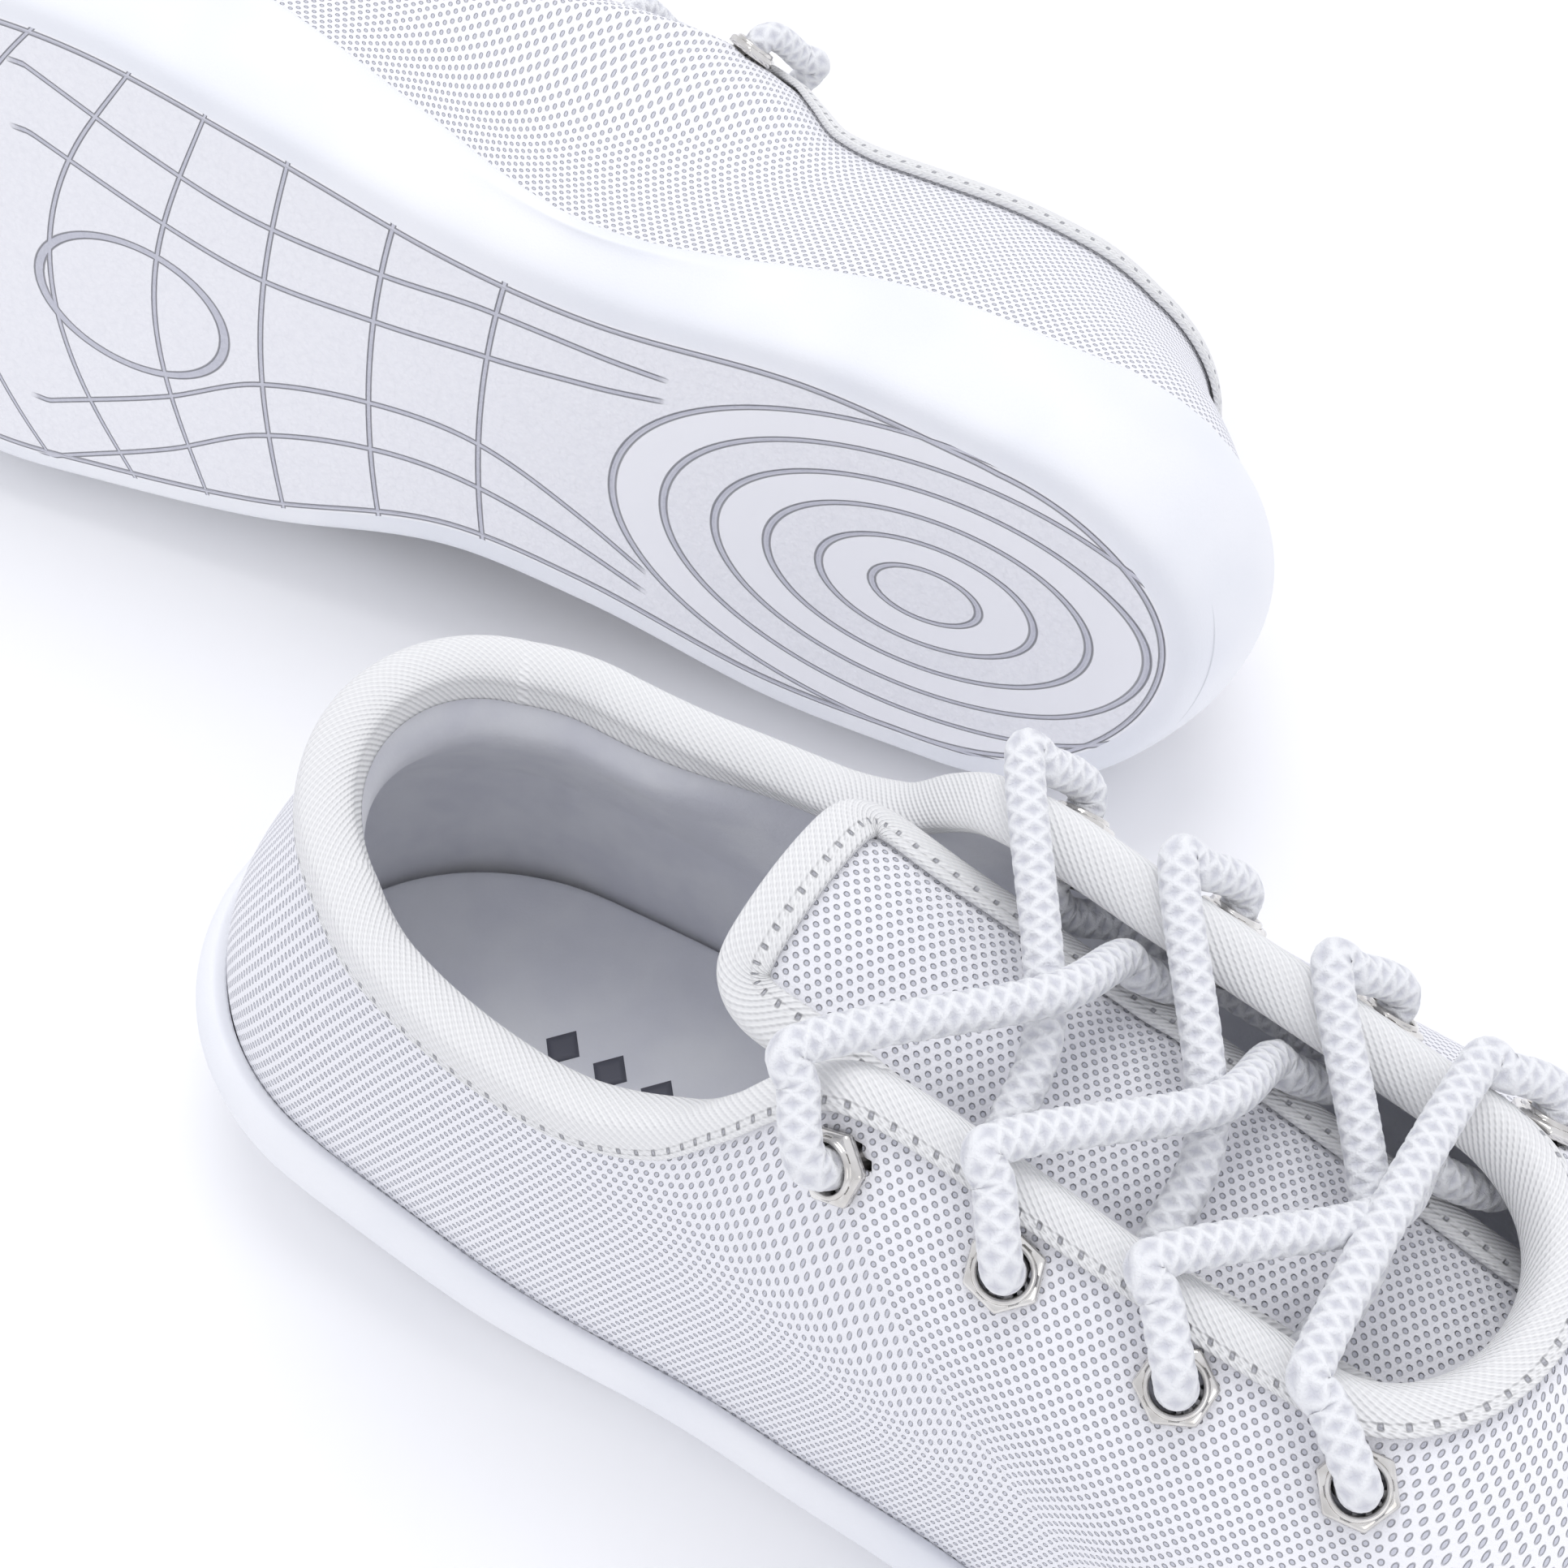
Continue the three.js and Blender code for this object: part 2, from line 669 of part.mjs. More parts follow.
// The lace's tails lie under the facings, outside the eyelets' backs.
function tail(first, side) {
  const points = [near(first, -1, -innerRun + 0.7), near(first, -4.5, -innerRun - 0.2)];
  const rail = eyeletSetback + 10.5;
  const steps = 4;
  for (let i = 0; i <= steps; i += 1) {
    const angle = angleAt(firstEyeletAt + 6 + i * tailLength / steps, rail, side);
    points.push(under(angle, faceAt(angle, rail), stack + gap + laceRadius + 0.4));
  }
  return points;
}

function laceRoute(eyelets) {
  const lateral = eyelets.slice(0, eyeletsPerSide);
  const medial = eyelets.slice(eyeletsPerSide);
  const last = eyeletsPerSide - 1;
  const crossing = laceRadius + gap / 2;
  const halfRoute = (start, other, side) => {
    const points = [...intoEyelet(start[last])];
    let [here, there] = [start, other];
    let facing = side;
    for (let i = last; i > 0; i -= 1) {
      facing = -facing;
      const next = there[i - 1];
      points.push(...underFacing(here[i]), midway(here[i], next, facing * crossing), ...intoEyelet(next));
      [here, there] = [there, here];
    }
    points.push(...tail(here[0], facing));
    return points;
  };
  return [...halfRoute(medial, lateral, -1).reverse(), ...halfRoute(lateral, medial, 1)];
}

// Metal tip on an end of the lace, in line with it and a gap away.
function aglet(route, start) {
  const end = start ? route[0] : route[route.length - 1];
  const inner = start ? route[1] : route[route.length - 2];
  const along = end.clone().sub(inner).normalize();
  const from = end.clone().addScaledVector(along, gap);
  const to = end.clone().addScaledVector(along, gap + agletLength);
  return tube([from, to], agletDiameter);
}

// ---- One shoe ----

const finish = {
  mesh: { color: '#eef0f5', roughness: 0.9, metalness: 0 },
  tape: { color: '#f1f1ef', roughness: 0.85, metalness: 0 },
  rubber: { color: '#eeeff3', roughness: 0.55, metalness: 0 },
  textile: { color: '#ecedf2', roughness: 0.95, metalness: 0 },
  board: { color: '#d8cdb8', roughness: 0.9, metalness: 0 },
  foam: { color: '#f2efe6', roughness: 1, metalness: 0 },
  metal: { color: '#c9c5bb', roughness: 0.2, metalness: 1 },
  lace: { color: '#f4f5f8', roughness: 0.95, metalness: 0 },
  film: { color: '#e8e9ee', roughness: 0.3, metalness: 0 },
};

function shoePieces() {
  const eyelets = eyeletStations();
  const holes = eyeletHoles(eyelets);
  const route = laceRoute(eyelets);
  const outer = level(meshThickness + gap);
  const inner = level(meshThickness + gap + layerThickness);
  const liningOuter = (angle, v) => inner() + gap + padding(angle, v);
  const liningInner = (angle, v) => liningOuter(angle, v) + liningThickness;
  const boardInset = upperInset + stack + 2 * gap;
  const boardTop = gap + boardThickness;
  const top = rows.length - 1;
  const step = (fraction) => Math.round(around * fraction);
  const toe = [-step(0.17), step(0.17) - 1];
  const heel = [step(0.36), step(0.64) - 1];
  const collar = [step(0.33), step(0.67) - 1];
  const lateralStay = [step(0.03), step(0.25)];
  const medialStay = [around - 1 - lateralStay[1], around - 1 - lateralStay[0]];
  const pieces = [
    ['unit_sole', 'rubber', unitSole()],
    ['insole_board', 'board', insert(boardInset, gap, gap + boardThickness)],
    ['sockliner', 'textile', insert(boardInset + gap, boardTop + gap, boardTop + gap + sockThickness)],
    ['upper_mesh', 'mesh', cut(layer(wholeShoe, [0, top], level(0), level(meshThickness)), holes)],
    ['lining', 'textile', cut(layer(wholeShoe, [0, top], liningOuter, liningInner), holes)],
    ['heel_counter', 'film', layer(heel, [0, 2], outer, inner)],
    ['toe_puff', 'film', layer(toe, [0, 2], outer, inner)],
    ['collar_foam', 'foam', layer(collar, [3, top], outer, (angle, v) => inner() + padding(angle, v))],
    ['eyestay_lateral', 'textile', cut(layer(lateralStay, [3, top], outer, inner), holes.slice(0, eyeletsPerSide))],
    ['eyestay_medial', 'textile', cut(layer(medialStay, [3, top], outer, inner), holes.slice(eyeletsPerSide))],
    ['topline_binding', 'tape', toplineBinding()],
    ['tongue', 'mesh', tongueLayer(0, tongueThickness)],
    ['tongue_lining', 'textile', tongueLayer(tongueThickness + gap, tongueThickness + gap + tongueLiningThickness)],
    ['tongue_binding', 'tape', tongueBinding()],
    ['lace', 'lace', tube(route, laceDiameter)],
    ['aglet_a', 'film', aglet(route, true)],
    ['aglet_b', 'film', aglet(route, false)],
  ];
  eyelets.forEach((place, i) => pieces.push([`eyelet_${place.name}`, 'metal', eyelet(place, 0.4 + 0.7 * i)]));
  return pieces;
}

// Mirror image across the shoe's own long plane, still with its faces pointing out.
function mirrored(geometry) {
  const position = Array.from(geometry.attributes.position.array);
  for (let i = 1; i < position.length; i += 3) position[i] = -position[i];
  return outward(position, Array.from(geometry.index.array));
}

function shoe(prefix, mirror) {
  const group = new THREE.Group();
  for (const [name, look, geometry] of shoePieces()) {
    const mesh = new THREE.Mesh(mirror ? mirrored(geometry) : geometry, new THREE.MeshStandardMaterial(finish[look]));
    mesh.name = `${prefix}_${name}`;
    group.add(mesh);
  }
  return group;
}

// Lowest point of a group in its parent's frame.
function lowest(group) {
  group.updateMatrixWorld(true);
  return new THREE.Box3().setFromObject(group, true).min.z;
}

const rightShoe = shoe('right', false);

// The left shoe on its side: toe turned to -X, lateral side up, sole towards -Y.
const leftShoe = shoe('left', true);
const laid = new THREE.Matrix4().makeBasis(
  new THREE.Vector3(-1, 0, 0),
  new THREE.Vector3(0, 0, 1),
  new THREE.Vector3(0, 1, 0),
);
const degrees = THREE.MathUtils.degToRad;
const tilt = new THREE.Matrix4().makeRotationZ(degrees(lyingYaw))
  .multiply(new THREE.Matrix4().makeRotationY(degrees(lyingPitch)))
  .multiply(new THREE.Matrix4().makeRotationX(degrees(lyingRoll)));
leftShoe.quaternion.setFromRotationMatrix(tilt.multiply(laid));
leftShoe.position.set(leftHeelAt[0], leftHeelAt[1], 0);
leftShoe.position.z = -lowest(leftShoe);

const pair = new THREE.Group();
pair.position.x = -restAt;
pair.add(rightShoe, leftShoe);

const root = new THREE.Group();
root.add(pair);
export default root;
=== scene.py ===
# A pair of white lace-up cheer shoes: the right one stands on its sole and the left one lies on its medial
# side. Both are worked out once, as a right shoe in its own frame (X from heel to toe, Y to the medial side,
# Z up, ground at zero, back of the sole at x = 0, millimetres). The left shoe is the mirror image, laid down.
import math

import bpy
import numpy as np
from mathutils import Matrix


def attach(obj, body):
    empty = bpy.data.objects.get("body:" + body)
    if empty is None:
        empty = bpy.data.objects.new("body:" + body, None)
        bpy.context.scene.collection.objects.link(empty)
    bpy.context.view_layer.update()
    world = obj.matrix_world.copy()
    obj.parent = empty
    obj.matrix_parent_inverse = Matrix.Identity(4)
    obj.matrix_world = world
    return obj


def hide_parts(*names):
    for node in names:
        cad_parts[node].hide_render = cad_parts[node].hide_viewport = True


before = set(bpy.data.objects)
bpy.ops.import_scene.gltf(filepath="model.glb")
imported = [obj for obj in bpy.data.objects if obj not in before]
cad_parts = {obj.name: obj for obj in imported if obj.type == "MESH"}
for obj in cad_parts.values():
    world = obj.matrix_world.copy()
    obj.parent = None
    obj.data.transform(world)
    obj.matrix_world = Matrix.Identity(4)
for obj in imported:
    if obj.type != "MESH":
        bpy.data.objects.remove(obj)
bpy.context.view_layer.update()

# ---- Sizes, in millimetres and degrees ----

SOLE_LENGTH = 256.0
HEEL_WIDTH = 64.0
WAIST_WIDTH = 60.0
BALL_WIDTH = 87.0
SOLE_FLOOR = 6.0
LIP = 3.4
TREAD_INSET = 8.0
BORDER_LINE = 0.8              # the tread's border groove, in from the edge of its flat
TOE_SPRING = 9.0

COLLAR_BACK = 61.0
COLLAR_DIP = 54.5
FACING_TOP = 76.0
THROAT_HEIGHT = 61.0
COLLAR_WIDTH = 52.0
THROAT_WIDTH = 36.0
HEEL_LEAN = 20.0
COLLAR_SHIFT = 3.0
LATERAL_SLOPE = 35.0
MEDIAL_SLOPE = 52.0

FIRST_EYELET = 100.8
EYELET_PITCH = 18.0
EYELETS = 4
EYELET_SETBACK = 8.6
EYELET_ACROSS = 8.2
EYELET_BORE = 5.0
EYELET_WALL = 0.35
FLANGE = 1.2
BACK_FLANGE_ACROSS = 6.8
BACK_FLANGE = 0.5
EYELET_SEAT = 0.25             # how far the flange stands off the cloth
BACK_SEAT = 1.7

LACE = 4.2
AGLET = 3.2
AGLET_LENGTH = 20.0
TAIL = 30.0

MESH = 1.4
LAYER = 0.9
LINING = 0.7
FOAM = 4.0
BOARD = 1.7
SOCK = 3.0
TAPE = 0.8
TAPE_DROP = EYELET_SETBACK - 5.1
TONGUE = 2.6
TONGUE_LINING = 0.6
TONGUE_TAPE = 0.6
TONGUE_TAPE_DROP = 4.5
TONGUE_WIDTH = THROAT_WIDTH * 0.9
TONGUE_MIDDLE = -1.5
TONGUE_TIP = 80.0
TONGUE_TIP_HEIGHT = 75.0
TONGUE_ARCH = 30.0
TONGUE_DEPTH = 2 * LACE + 0.4

GAP = 0.3
TAPE_GAP = 0.5
REST_AT = 105.0                # middle of the flat tread, the pair's reference point
LYING = (-10.0, 4.0, 7.0)      # roll, pitch and yaw of the left shoe on its side
LEFT_HEEL = (95.7 - REST_AT, 76.4, 31.9998)

CUP_SHARE = 0.2
UPPER_INSET = LIP + 0.1        # the cemented upper touches the cup's wall
STACK = MESH + LAYER + LINING + 2 * GAP
LAST_EYELET = FIRST_EYELET + (EYELETS - 1) * EYELET_PITCH
THROAT_AT = LAST_EYELET + 7.5
FACING_AT = FIRST_EYELET - 2
TONGUE_ROOT = THROAT_AT + 9


# ---- Curves ----

def through(stations, x):
    """Cubic through [x, value] stations, sloped by their two neighbours and held constant outside them."""
    table = np.asarray(stations, float)
    at, value = table[:, 0], table[:, 1:]
    before = np.maximum(np.arange(len(at)) - 1, 0)
    after = np.minimum(np.arange(len(at)) + 1, len(at) - 1)
    slope = (value[after] - value[before]) / (at[after] - at[before])[:, None]
    x = np.clip(x, at[0], at[-1])
    i = np.clip(np.searchsorted(at, x, side="right") - 1, 0, len(at) - 2)
    h = (at[i + 1] - at[i])[..., None]
    s = (x - at[i])[..., None] / h
    mixed = (1 + 2 * s) * (1 - s) ** 2 * value[i] + s * s * (3 - 2 * s) * value[i + 1]
    mixed = mixed + h * s * (1 - s) * ((1 - s) * slope[i] - s * slope[i + 1])
    return mixed[..., 0] if value.shape[1] == 1 else mixed


def smoothstep(low, high, x):
    s = np.clip((x - low) / (high - low), 0, 1)
    return s * s * (3 - 2 * s)


def rounded(distance, reach):
    """Quarter-ellipse growth from 0 to 1 over a distance."""
    s = np.clip(distance / reach, 0, 1)
    return np.sqrt(s * (2 - s))


def vector(x, y, z):
    return np.stack(np.broadcast_arrays(x, y, z), axis=-1).astype(float)


def unit(v):
    return v / np.maximum(np.linalg.norm(v, axis=-1, keepdims=True), 1e-12)


# ---- The sole's outline ----

def share(fraction):
    return fraction * SOLE_LENGTH


LATERAL_HALF = [
    (share(0.11), HEEL_WIDTH * 0.485), (share(0.22), HEEL_WIDTH * 0.52), (share(0.34), WAIST_WIDTH * 0.52),
    (share(0.43), WAIST_WIDTH * 0.55), (share(0.55), BALL_WIDTH * 0.45), (share(0.66), BALL_WIDTH * 0.505),
    (share(0.75), BALL_WIDTH * 0.5), (share(0.85), BALL_WIDTH * 0.43), (share(0.93), BALL_WIDTH * 0.34),
]
MEDIAL_HALF = [
    (share(0.11), HEEL_WIDTH * 0.5), (share(0.22), HEEL_WIDTH * 0.5), (share(0.34), WAIST_WIDTH * 0.455),
    (share(0.43), WAIST_WIDTH * 0.45), (share(0.55), BALL_WIDTH * 0.41), (share(0.66), BALL_WIDTH * 0.465),
    (share(0.75), BALL_WIDTH * 0.49), (share(0.85), BALL_WIDTH * 0.45), (share(0.93), BALL_WIDTH * 0.37),
]
LIP_HEIGHT = [
    (0, 24), (share(0.12), 20), (share(0.2), 18.5), (share(0.3), 13), (share(0.385), 10), (share(0.49), 16),
    (share(0.6), 21), (share(0.78), 22), (SOLE_LENGTH, 24 + TOE_SPRING * 0.5),
]
HEEL_ROUND = share(0.12)
TOE_ROUND = share(0.2)


def outline(angle, inset=0.0):
    """Plan outline: x = middle + reach cos(angle), y = that side's half width times a quarter ellipse at each
    end."""
    x = SOLE_LENGTH / 2 + (SOLE_LENGTH / 2 - inset) * np.cos(angle)
    whole = SOLE_LENGTH * (x - inset) / (SOLE_LENGTH - 2 * inset)
    lateral = np.sin(angle) >= 0
    half = np.where(lateral, through(LATERAL_HALF, whole), through(MEDIAL_HALF, whole)) - inset
    ends = rounded(x - inset, HEEL_ROUND) * rounded(SOLE_LENGTH - inset - x, TOE_ROUND)
    return x, np.where(lateral, -half, half) * ends


def tread_height(x):
    toe = TOE_SPRING * smoothstep(share(0.68), share(1.12), x) ** 1.2 * 1.6
    return toe + 3 * (1 - smoothstep(0, share(0.1), x)) ** 2


def floor_height(x):
    return SOLE_FLOOR + tread_height(x) * smoothstep(share(0.5), share(0.7), x)


# ---- The upper's outer face ----

LATERAL_EDGE = [
    (HEEL_LEAN + 12, COLLAR_WIDTH * 0.42), (HEEL_LEAN + 30, COLLAR_WIDTH * 0.48),
    (FACING_AT - 30, COLLAR_WIDTH * 0.5), (FACING_AT - 12, COLLAR_WIDTH * 0.44),
    (FACING_AT, THROAT_WIDTH * 0.54), (THROAT_AT - 26, THROAT_WIDTH * 0.53), (THROAT_AT, THROAT_WIDTH * 0.5),
]
MEDIAL_EDGE = [
    (HEEL_LEAN + 12, COLLAR_WIDTH * 0.4), (HEEL_LEAN + 30, COLLAR_WIDTH * 0.46),
    (FACING_AT - 30, COLLAR_WIDTH * 0.5), (FACING_AT - 12, COLLAR_WIDTH * 0.4),
    (FACING_AT, THROAT_WIDTH * 0.49), (THROAT_AT - 26, THROAT_WIDTH * 0.47), (THROAT_AT, THROAT_WIDTH * 0.45),
]


def edge_heights(climb):
    rise = FACING_TOP - COLLAR_DIP
    return [
        (HEEL_LEAN, COLLAR_BACK), (HEEL_LEAN + 12, COLLAR_BACK - 2.5), (HEEL_LEAN + 30, COLLAR_DIP + 1.2),
        (FACING_AT - 30, COLLAR_DIP), (FACING_AT - 19, COLLAR_DIP + rise * climb[0]),
        (FACING_AT - 12, COLLAR_DIP + rise * climb[1]), (FACING_AT - 6, COLLAR_DIP + rise * climb[2]),
        (FACING_AT + 1, FACING_TOP), (FACING_AT + 16, FACING_TOP - 3.4),
        (THROAT_AT - 12, THROAT_HEIGHT + 2.4), (THROAT_AT, THROAT_HEIGHT),
    ]


LATERAL_HEIGHT = edge_heights((0.18, 0.5, 0.82))
MEDIAL_HEIGHT = edge_heights((0.3, 0.68, 0.93))


def topline(angle):
    """Edge of the opening: x goes from collar to throat as a cosine, with a width and height a side."""
    x = HEEL_LEAN + (THROAT_AT - HEEL_LEAN) * (1 + np.cos(angle)) / 2
    ends = rounded(x - HEEL_LEAN, 22) * rounded(THROAT_AT - x, THROAT_WIDTH * 0.4)
    lateral = np.sin(angle) >= 0
    half = np.where(lateral, through(LATERAL_EDGE, x), through(MEDIAL_EDGE, x)) * ends
    shift = COLLAR_SHIFT * (1 - smoothstep(HEEL_LEAN, HEEL_LEAN + 36, x))
    z = np.where(lateral, through(LATERAL_HEIGHT, x), through(MEDIAL_HEIGHT, x))
    return vector(x, shift + np.where(lateral, -half, half), z)


def outer_face(angle, v):
    """Cubic Bezier from the sole's cup (v = 0) to the topline (v = 1), whose second point is straight above
    the foot of the curve and whose third is out from and under the topline. Its lowest part, in the cup, is
    upright."""
    angle, v = np.asarray(angle, float), np.asarray(v, float)
    foot_x, foot_y = outline(angle, UPPER_INSET)
    low = vector(foot_x, foot_y, floor_height(foot_x) + GAP)
    high = topline(angle)
    span = np.linalg.norm(high - low, axis=-1)
    flat = smoothstep(FACING_AT - 28, FACING_AT + 2, high[..., 0])
    nose = smoothstep(THROAT_AT - 16, THROAT_AT, high[..., 0])
    slope = LATERAL_SLOPE + (MEDIAL_SLOPE - LATERAL_SLOPE) * smoothstep(-8, 8, high[..., 1])
    lean = np.radians(78 + (slope - 78) * flat + (22 - slope) * nose)
    reach = span * (0.3 + 0.04 * flat + 0.1 * nose)
    after, before = topline(angle + 0.01), topline(angle - 0.01)
    level = unit(vector(before[..., 1] - after[..., 1], after[..., 0] - before[..., 0], 0))
    p1 = low.copy()
    p1[..., 2] += np.minimum(span * (0.42 + 0.04 * flat), 30)
    p2 = high + level * ((1 - CUP_SHARE) * reach * np.cos(lean))[..., None]
    p2[..., 2] -= reach * np.sin(lean)
    free = np.clip(v - CUP_SHARE, 0, None) / (1 - CUP_SHARE)

    def bezier(t, axis):
        w = 1 - t
        inner = 3 * w * w * t * p1[..., axis] + 3 * w * t * t * p2[..., axis]
        return w ** 3 * low[..., axis] + inner + t ** 3 * high[..., axis]

    return vector(bezier(free, 0), bezier(free, 1), bezier(v, 2))


def face_frame(angle, v):
    """Place, outward normal and downward direction on the outer face, from differences over a small step."""
    e = 0.004
    at = outer_face(angle, v)
    across = outer_face(angle + e, v) - outer_face(angle - e, v)
    up = unit(outer_face(angle, np.clip(v + e, 0, 1)) - outer_face(angle, np.clip(v - e, 0, 1)))
    out = unit(np.cross(up, across))
    middle = np.array([SOLE_LENGTH * 0.42, 0, -40])
    out = out * np.where(np.sum(out * (at - middle), axis=-1, keepdims=True) < 0, -1, 1)
    return at, out, -up


def under(angle, v, depth):
    """Point at a depth under the outer face, along its normal."""
    at, out, _ = face_frame(angle, v)
    return at - out * np.asarray(depth, float)[..., None]


def face_at(angle, distance):
    """Height up the face, as v, a distance down from the topline: arc length from v = 1, looked up."""
    angle, distance = np.broadcast_arrays(np.asarray(angle, float), np.asarray(distance, float))
    steps = np.linspace(1, 0.3, 141)
    line = outer_face(angle[..., None], steps)
    run = np.cumsum(np.linalg.norm(np.diff(line, axis=-2), axis=-1), axis=-1)
    run = np.concatenate([np.zeros(run.shape[:-1] + (1,)), run], axis=-1)
    i = np.clip((run <= distance[..., None]).sum(-1) - 1, 0, len(steps) - 2)
    low = np.take_along_axis(run, i[..., None], -1)[..., 0]
    high = np.take_along_axis(run, i[..., None] + 1, -1)[..., 0]
    return steps[i] + (steps[i + 1] - steps[i]) * np.clip((distance - low) / (high - low), 0, 1)


def angle_at(x, distance, side):
    """Angle at which the point a distance down from the topline is at x, by repeated correction."""
    edge = x
    angle = 0.0
    for _ in range(6):
        angle = side * math.acos(2 * (edge - HEEL_LEAN) / (THROAT_AT - HEEL_LEAN) - 1)
        edge += x - outer_face(angle, face_at(angle, distance))[0]
    return angle


def padding(angle, v):
    """Inward swell of the collar's padding: a bump over v = 0.44, faded out ahead of the ankle."""
    turned = np.abs(np.pi - np.abs(np.mod(angle, 2 * np.pi) - np.pi))
    bump = through([(0.44, 0), (0.66, FOAM * 0.55), (0.85, FOAM), (0.97, FOAM * 0.22), (1, 0)], v)
    return smoothstep(1.9, 2.25, turned) * bump


# ---- Meshes ----

def basis():
    """Turn and place of the left shoe: yaw, pitch and roll applied to toe towards -X and lateral side up."""
    roll, pitch, yaw = np.radians(LYING)
    cx, sx, cy, sy, cz, sz = (f(a) for a in (roll, pitch, yaw) for f in (math.cos, math.sin))
    about_x = np.array([[1, 0, 0], [0, cx, -sx], [0, sx, cx]])
    about_y = np.array([[cy, 0, sy], [0, 1, 0], [-sy, 0, cy]])
    about_z = np.array([[cz, -sz, 0], [sz, cz, 0], [0, 0, 1]])
    laid = np.array([[-1, 0, 0], [0, 0, 1], [0, 1, 0]])
    return about_z @ about_y @ about_x @ laid


def placed(side, points):
    """Place of points of a right shoe, in metres. The left shoe is mirrored across its long plane first."""
    if side == "right":
        return (points - [REST_AT, 0, 0]) / 1000
    return ((points * [1, -1, 1]) @ basis().T + LEFT_HEEL) / 1000


def grid(rows, cols, wrap):
    """Quads between neighbouring rows and columns, and each corner's place in the grid before wrapping."""
    k, j = np.meshgrid(np.arange(rows if wrap else rows - 1), np.arange(cols - 1), indexing="ij")
    corners = [(k, j), (k + 1, j), (k + 1, j + 1), (k, j + 1)]
    quads = np.stack([(a % rows) * cols + b for a, b in corners], -1).reshape(-1, 4)
    flat = np.stack([a * cols + b for a, b in corners], -1).reshape(-1, 4)
    return quads, flat


def piece(side, name, points, quads, uv, material, body="shoe", stands=True, marks=None):
    """One mesh riding on a body: points in the shoe's own frame, quads, and UV in millimetres for each
    corner. marks are more named values for each point. Faces are turned outwards by the sign of the enclosed
    volume."""
    place = placed(side, points.reshape(-1, 3))
    corner = place[quads]
    volume = np.sum(corner[:, 0] * np.cross(corner[:, 1], corner[:, 2]))
    volume += np.sum(corner[:, 0] * np.cross(corner[:, 2], corner[:, 3]))
    if volume < 0:
        quads, uv = quads[:, ::-1], uv[:, ::-1]
    mesh = bpy.data.meshes.new(f"{side}_{name}")
    mesh.vertices.add(len(place))
    mesh.vertices.foreach_set("co", place.ravel())
    mesh.loops.add(quads.size)
    mesh.loops.foreach_set("vertex_index", np.ascontiguousarray(quads, dtype=np.int32).ravel())
    mesh.polygons.add(len(quads))
    mesh.polygons.foreach_set("loop_start", np.arange(0, quads.size, 4, dtype=np.int32))
    mesh.polygons.foreach_set("use_smooth", np.ones(len(quads), dtype=bool))
    layer = mesh.uv_layers.new(name="cloth")
    layer.data.foreach_set("uv", np.ascontiguousarray(uv, dtype=np.float32).ravel())
    for key, values in (marks or {}).items():
        marked = mesh.attributes.new(key, "FLOAT", "POINT")
        marked.data.foreach_set("value", np.ravel(values).astype(np.float32))
    mesh.update(calc_edges=True)
    mesh.materials.append(material)
    thing = bpy.data.objects.new(f"{side}_{name}_skin" if stands else f"{side}_{name}", mesh)
    bpy.context.scene.collection.objects.link(thing)
    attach(thing, f"{side}_{body}")
    if stands:
        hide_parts(f"{side}_{name}")
    return thing


def sheet_uv(points, wrap):
    """UV from arc lengths in millimetres, along the rows' middle line and across each row."""
    middle = points[:, points.shape[1] // 2]
    ahead = np.concatenate([middle, middle[:1]]) if wrap else middle
    along = np.concatenate([[0], np.cumsum(np.linalg.norm(np.diff(ahead, axis=0), axis=-1))])
    across = np.cumsum(np.linalg.norm(np.diff(points, axis=1), axis=-1), axis=1)
    across = np.concatenate([np.zeros((len(points), 1)), across], axis=1)
    across = np.concatenate([across, across[:1]]) if wrap else across
    return np.stack([np.broadcast_to(along[:, None], across.shape), across], -1)


def shell(outer, inner, wrap, keep=None, uv=None):
    """Closed solid between two sheets of the same grid. Every edge of the kept quads that has no neighbour,
    round a hole or along a rim, gets a wall to the other sheet."""
    rows, cols = outer.shape[:2]
    quads, flat = grid(rows, cols, wrap)
    uv = sheet_uv(outer, wrap) if uv is None else uv
    corner_uv = uv.reshape(-1, 2)[flat]
    if keep is not None:
        kept = keep(outer.reshape(-1, 3)[quads])
        quads, corner_uv = quads[kept], corner_uv[kept]
    count = rows * cols
    start, end = quads, np.roll(quads, -1, axis=1)
    lonely = ~np.isin((start * count + end).ravel(), (end * count + start).ravel())
    a, b = start.ravel()[lonely], end.ravel()[lonely]
    uv_a = corner_uv.reshape(-1, 2)[lonely]
    uv_b = np.roll(corner_uv, -1, axis=1).reshape(-1, 2)[lonely]
    walls = np.stack([b, a, a + count, b + count], -1)
    walls_uv = np.stack([uv_b, uv_a, uv_a, uv_b], 1)
    points = np.concatenate([outer.reshape(-1, 3), inner.reshape(-1, 3)])
    everything = np.concatenate([quads, quads[:, ::-1] + count, walls])
    used, packed = np.unique(everything, return_inverse=True)
    return points[used], packed.reshape(-1, 4), np.concatenate([corner_uv, corner_uv[:, ::-1], walls_uv])


def pinched(loops):
    """Closed loops along a path, with one more at each end, shrunk to the middle of the loop beside it."""
    middle = loops.mean(axis=1, keepdims=True)
    first, last = (np.broadcast_to(middle[i], loops[i].shape)[None] for i in (0, -1))
    return np.concatenate([first, loops, last])


def ring_solid(loops, wrap_rows, uv):
    """Closed surface over a grid whose columns are closed loops, and whose rows close too if wrap_rows."""
    rows, cols = loops.shape[:2]
    k, j = np.meshgrid(np.arange(rows if wrap_rows else rows - 1), np.arange(cols), indexing="ij")
    corners = [(k, j), (k + 1, j), (k + 1, j + 1), (k, j + 1)]
    quads = np.stack([(a % rows) * cols + b % cols for a, b in corners], -1).reshape(-1, 4)
    flat = np.stack([a * (cols + 1) + b for a, b in corners], -1).reshape(-1, 4)
    return quads, uv.reshape(-1, 2)[flat]


